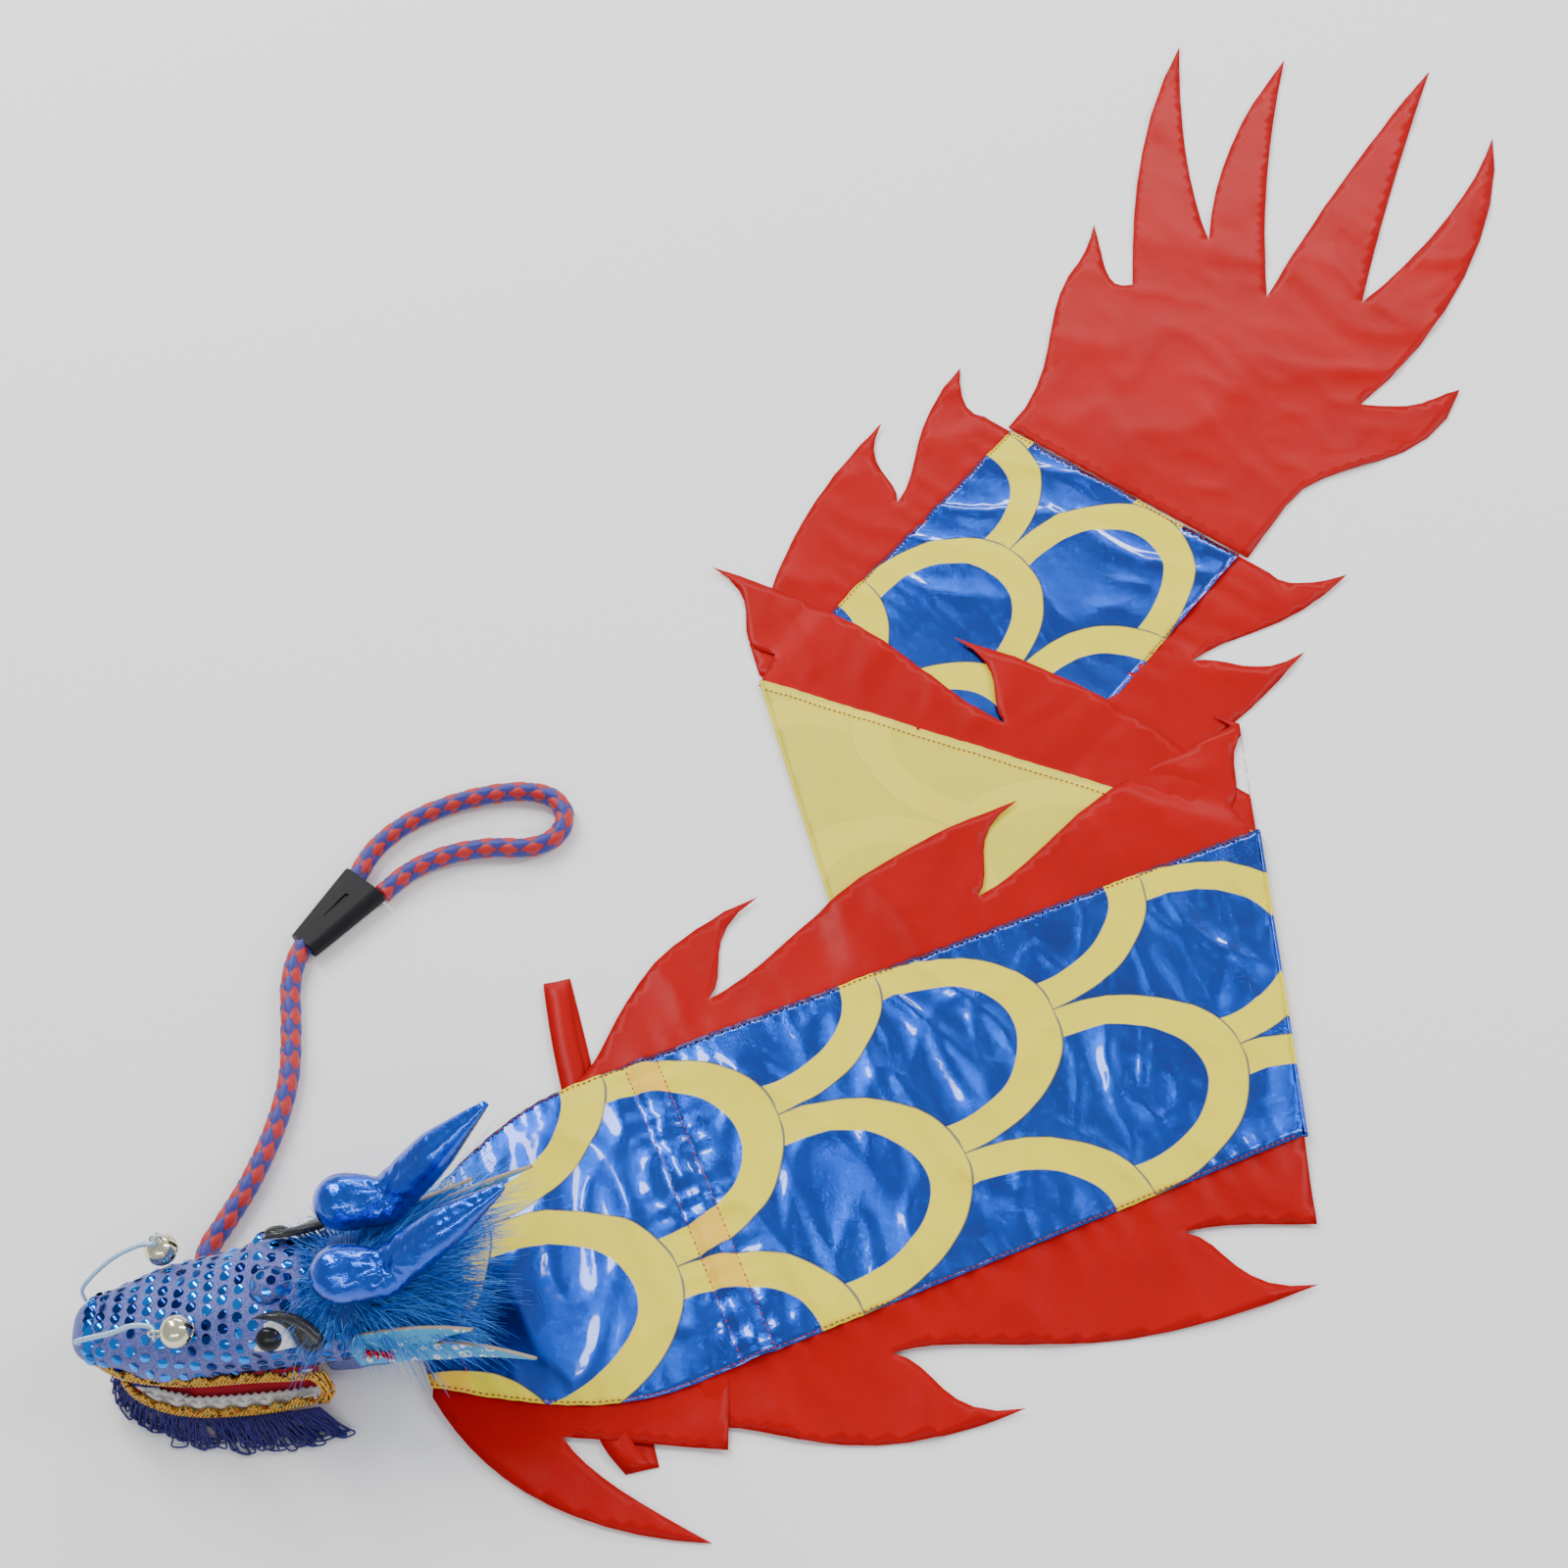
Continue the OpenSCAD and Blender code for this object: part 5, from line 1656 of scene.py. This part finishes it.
def add_turn(name, place, fold_angle, angle, low, high, outward, shader, print_at):
    """The ribbon's U-turn at a fold: half a roll between two layers."""
    verts, flat = [], []
    steps = 8
    stations = np.linspace(-HALF_W, HALF_W, 80)
    middle_z, r = (low + high) / 2, (high - low) / 2
    for v in stations:
        u = fold_u(v, fold_angle, angle)
        base = place(u, v, 0)
        for j in range(steps + 1):
            turn = math.pi * j / steps
            out = outward * (r * 1.4 * math.sin(turn) * MM)
            verts.append(Vector((base.x + out.x, base.y + out.y, (middle_z - r * math.cos(turn)) * MM)))
            flat.append(print_at(u, v))
    faces = [tuple(reversed(f)) for f in grid_faces(len(stations), steps + 1)]
    strip = add_mesh(name, verts, faces, shader)
    add_uv(strip, flat)
    applied(thicken(strip, CLOTH_T))
    centre = place(0, 0, 0)
    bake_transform(strip)


def fold_outward(place, fold_angle, angle, inward_u):
    """Level direction square to a fold, away from its length; inward_u is a step along u into the length."""
    a = place(fold_u(-HALF_W, fold_angle, angle), -HALF_W, 0)
    b = place(fold_u(HALF_W, fold_angle, angle), HALF_W, 0)
    line = (b - a).normalized()
    square = Vector((line.y, -line.x, 0))
    into = place(inward_u, 0, 0) - place(0, 0, 0)
    return square if square.dot(into) < 0 else -square


add_turn("front_turn", front, FOLD_FRONT_ANGLE, FRONT_HEADING, MIDDLE_Z, FRONT_Z,
         fold_outward(front, FOLD_FRONT_ANGLE, FRONT_HEADING, -1), PRINT,
         lambda u, v: (u, v))
add_turn("rear_turn", rear, FOLD_REAR_ANGLE, REAR_HEADING, REAR_Z, MIDDLE_Z,
         fold_outward(rear, FOLD_REAR_ANGLE, REAR_HEADING, 1), REVERSE,
         lambda u, v: (MIDDLE_LEN + u, v))

# ---------------------------------------------------------------- light and floor
FLOOR = Shader("pale_floor", (0.95, 0.95, 0.95), 0.9)
FLOOR_HALF, FLOOR_Z = 8, -0.0004
LIGHTS_AIM = Vector((-0.1, -0.1, 0))


def add_floor():
    outline = [(x * FLOOR_HALF, y * FLOOR_HALF, FLOOR_Z) for x, y in ((-1, -1), (1, -1), (1, 1), (-1, 1))]
    add_mesh("floor", outline, [(0, 1, 2, 3)], FLOOR)


def add_light(name, place, size, power):
    data = bpy.data.lights.new(name, "AREA")
    data.shape = "RECTANGLE"
    data.size, data.size_y = size
    data.energy = power
    light = bpy.data.objects.new(name, data)
    bpy.context.scene.collection.objects.link(light)
    light.location = place
    light.rotation_euler = (LIGHTS_AIM - Vector(place)).to_track_quat("-Z", "Y").to_euler()


add_floor()
add_light("key", (-1.7, 1.5, 2.5), (0.5, 2.6), 95)
add_light("fill", (2.3, 0.3, 2.1), (0.25, 2.6), 52)
add_light("back", (0.3, 3.0, 1.7), (2.8, 0.2), 50)
add_light("front", (-0.2, -2.8, 2.2), (2.8, 0.2), 25)
world = bpy.data.worlds.new("world")
bpy.context.scene.world = world
world.use_nodes = True
background = world.node_tree.nodes["Background"]
background.inputs["Color"].default_value = (0.92, 0.95, 1.0, 1)
background.inputs["Strength"].default_value = 0.6
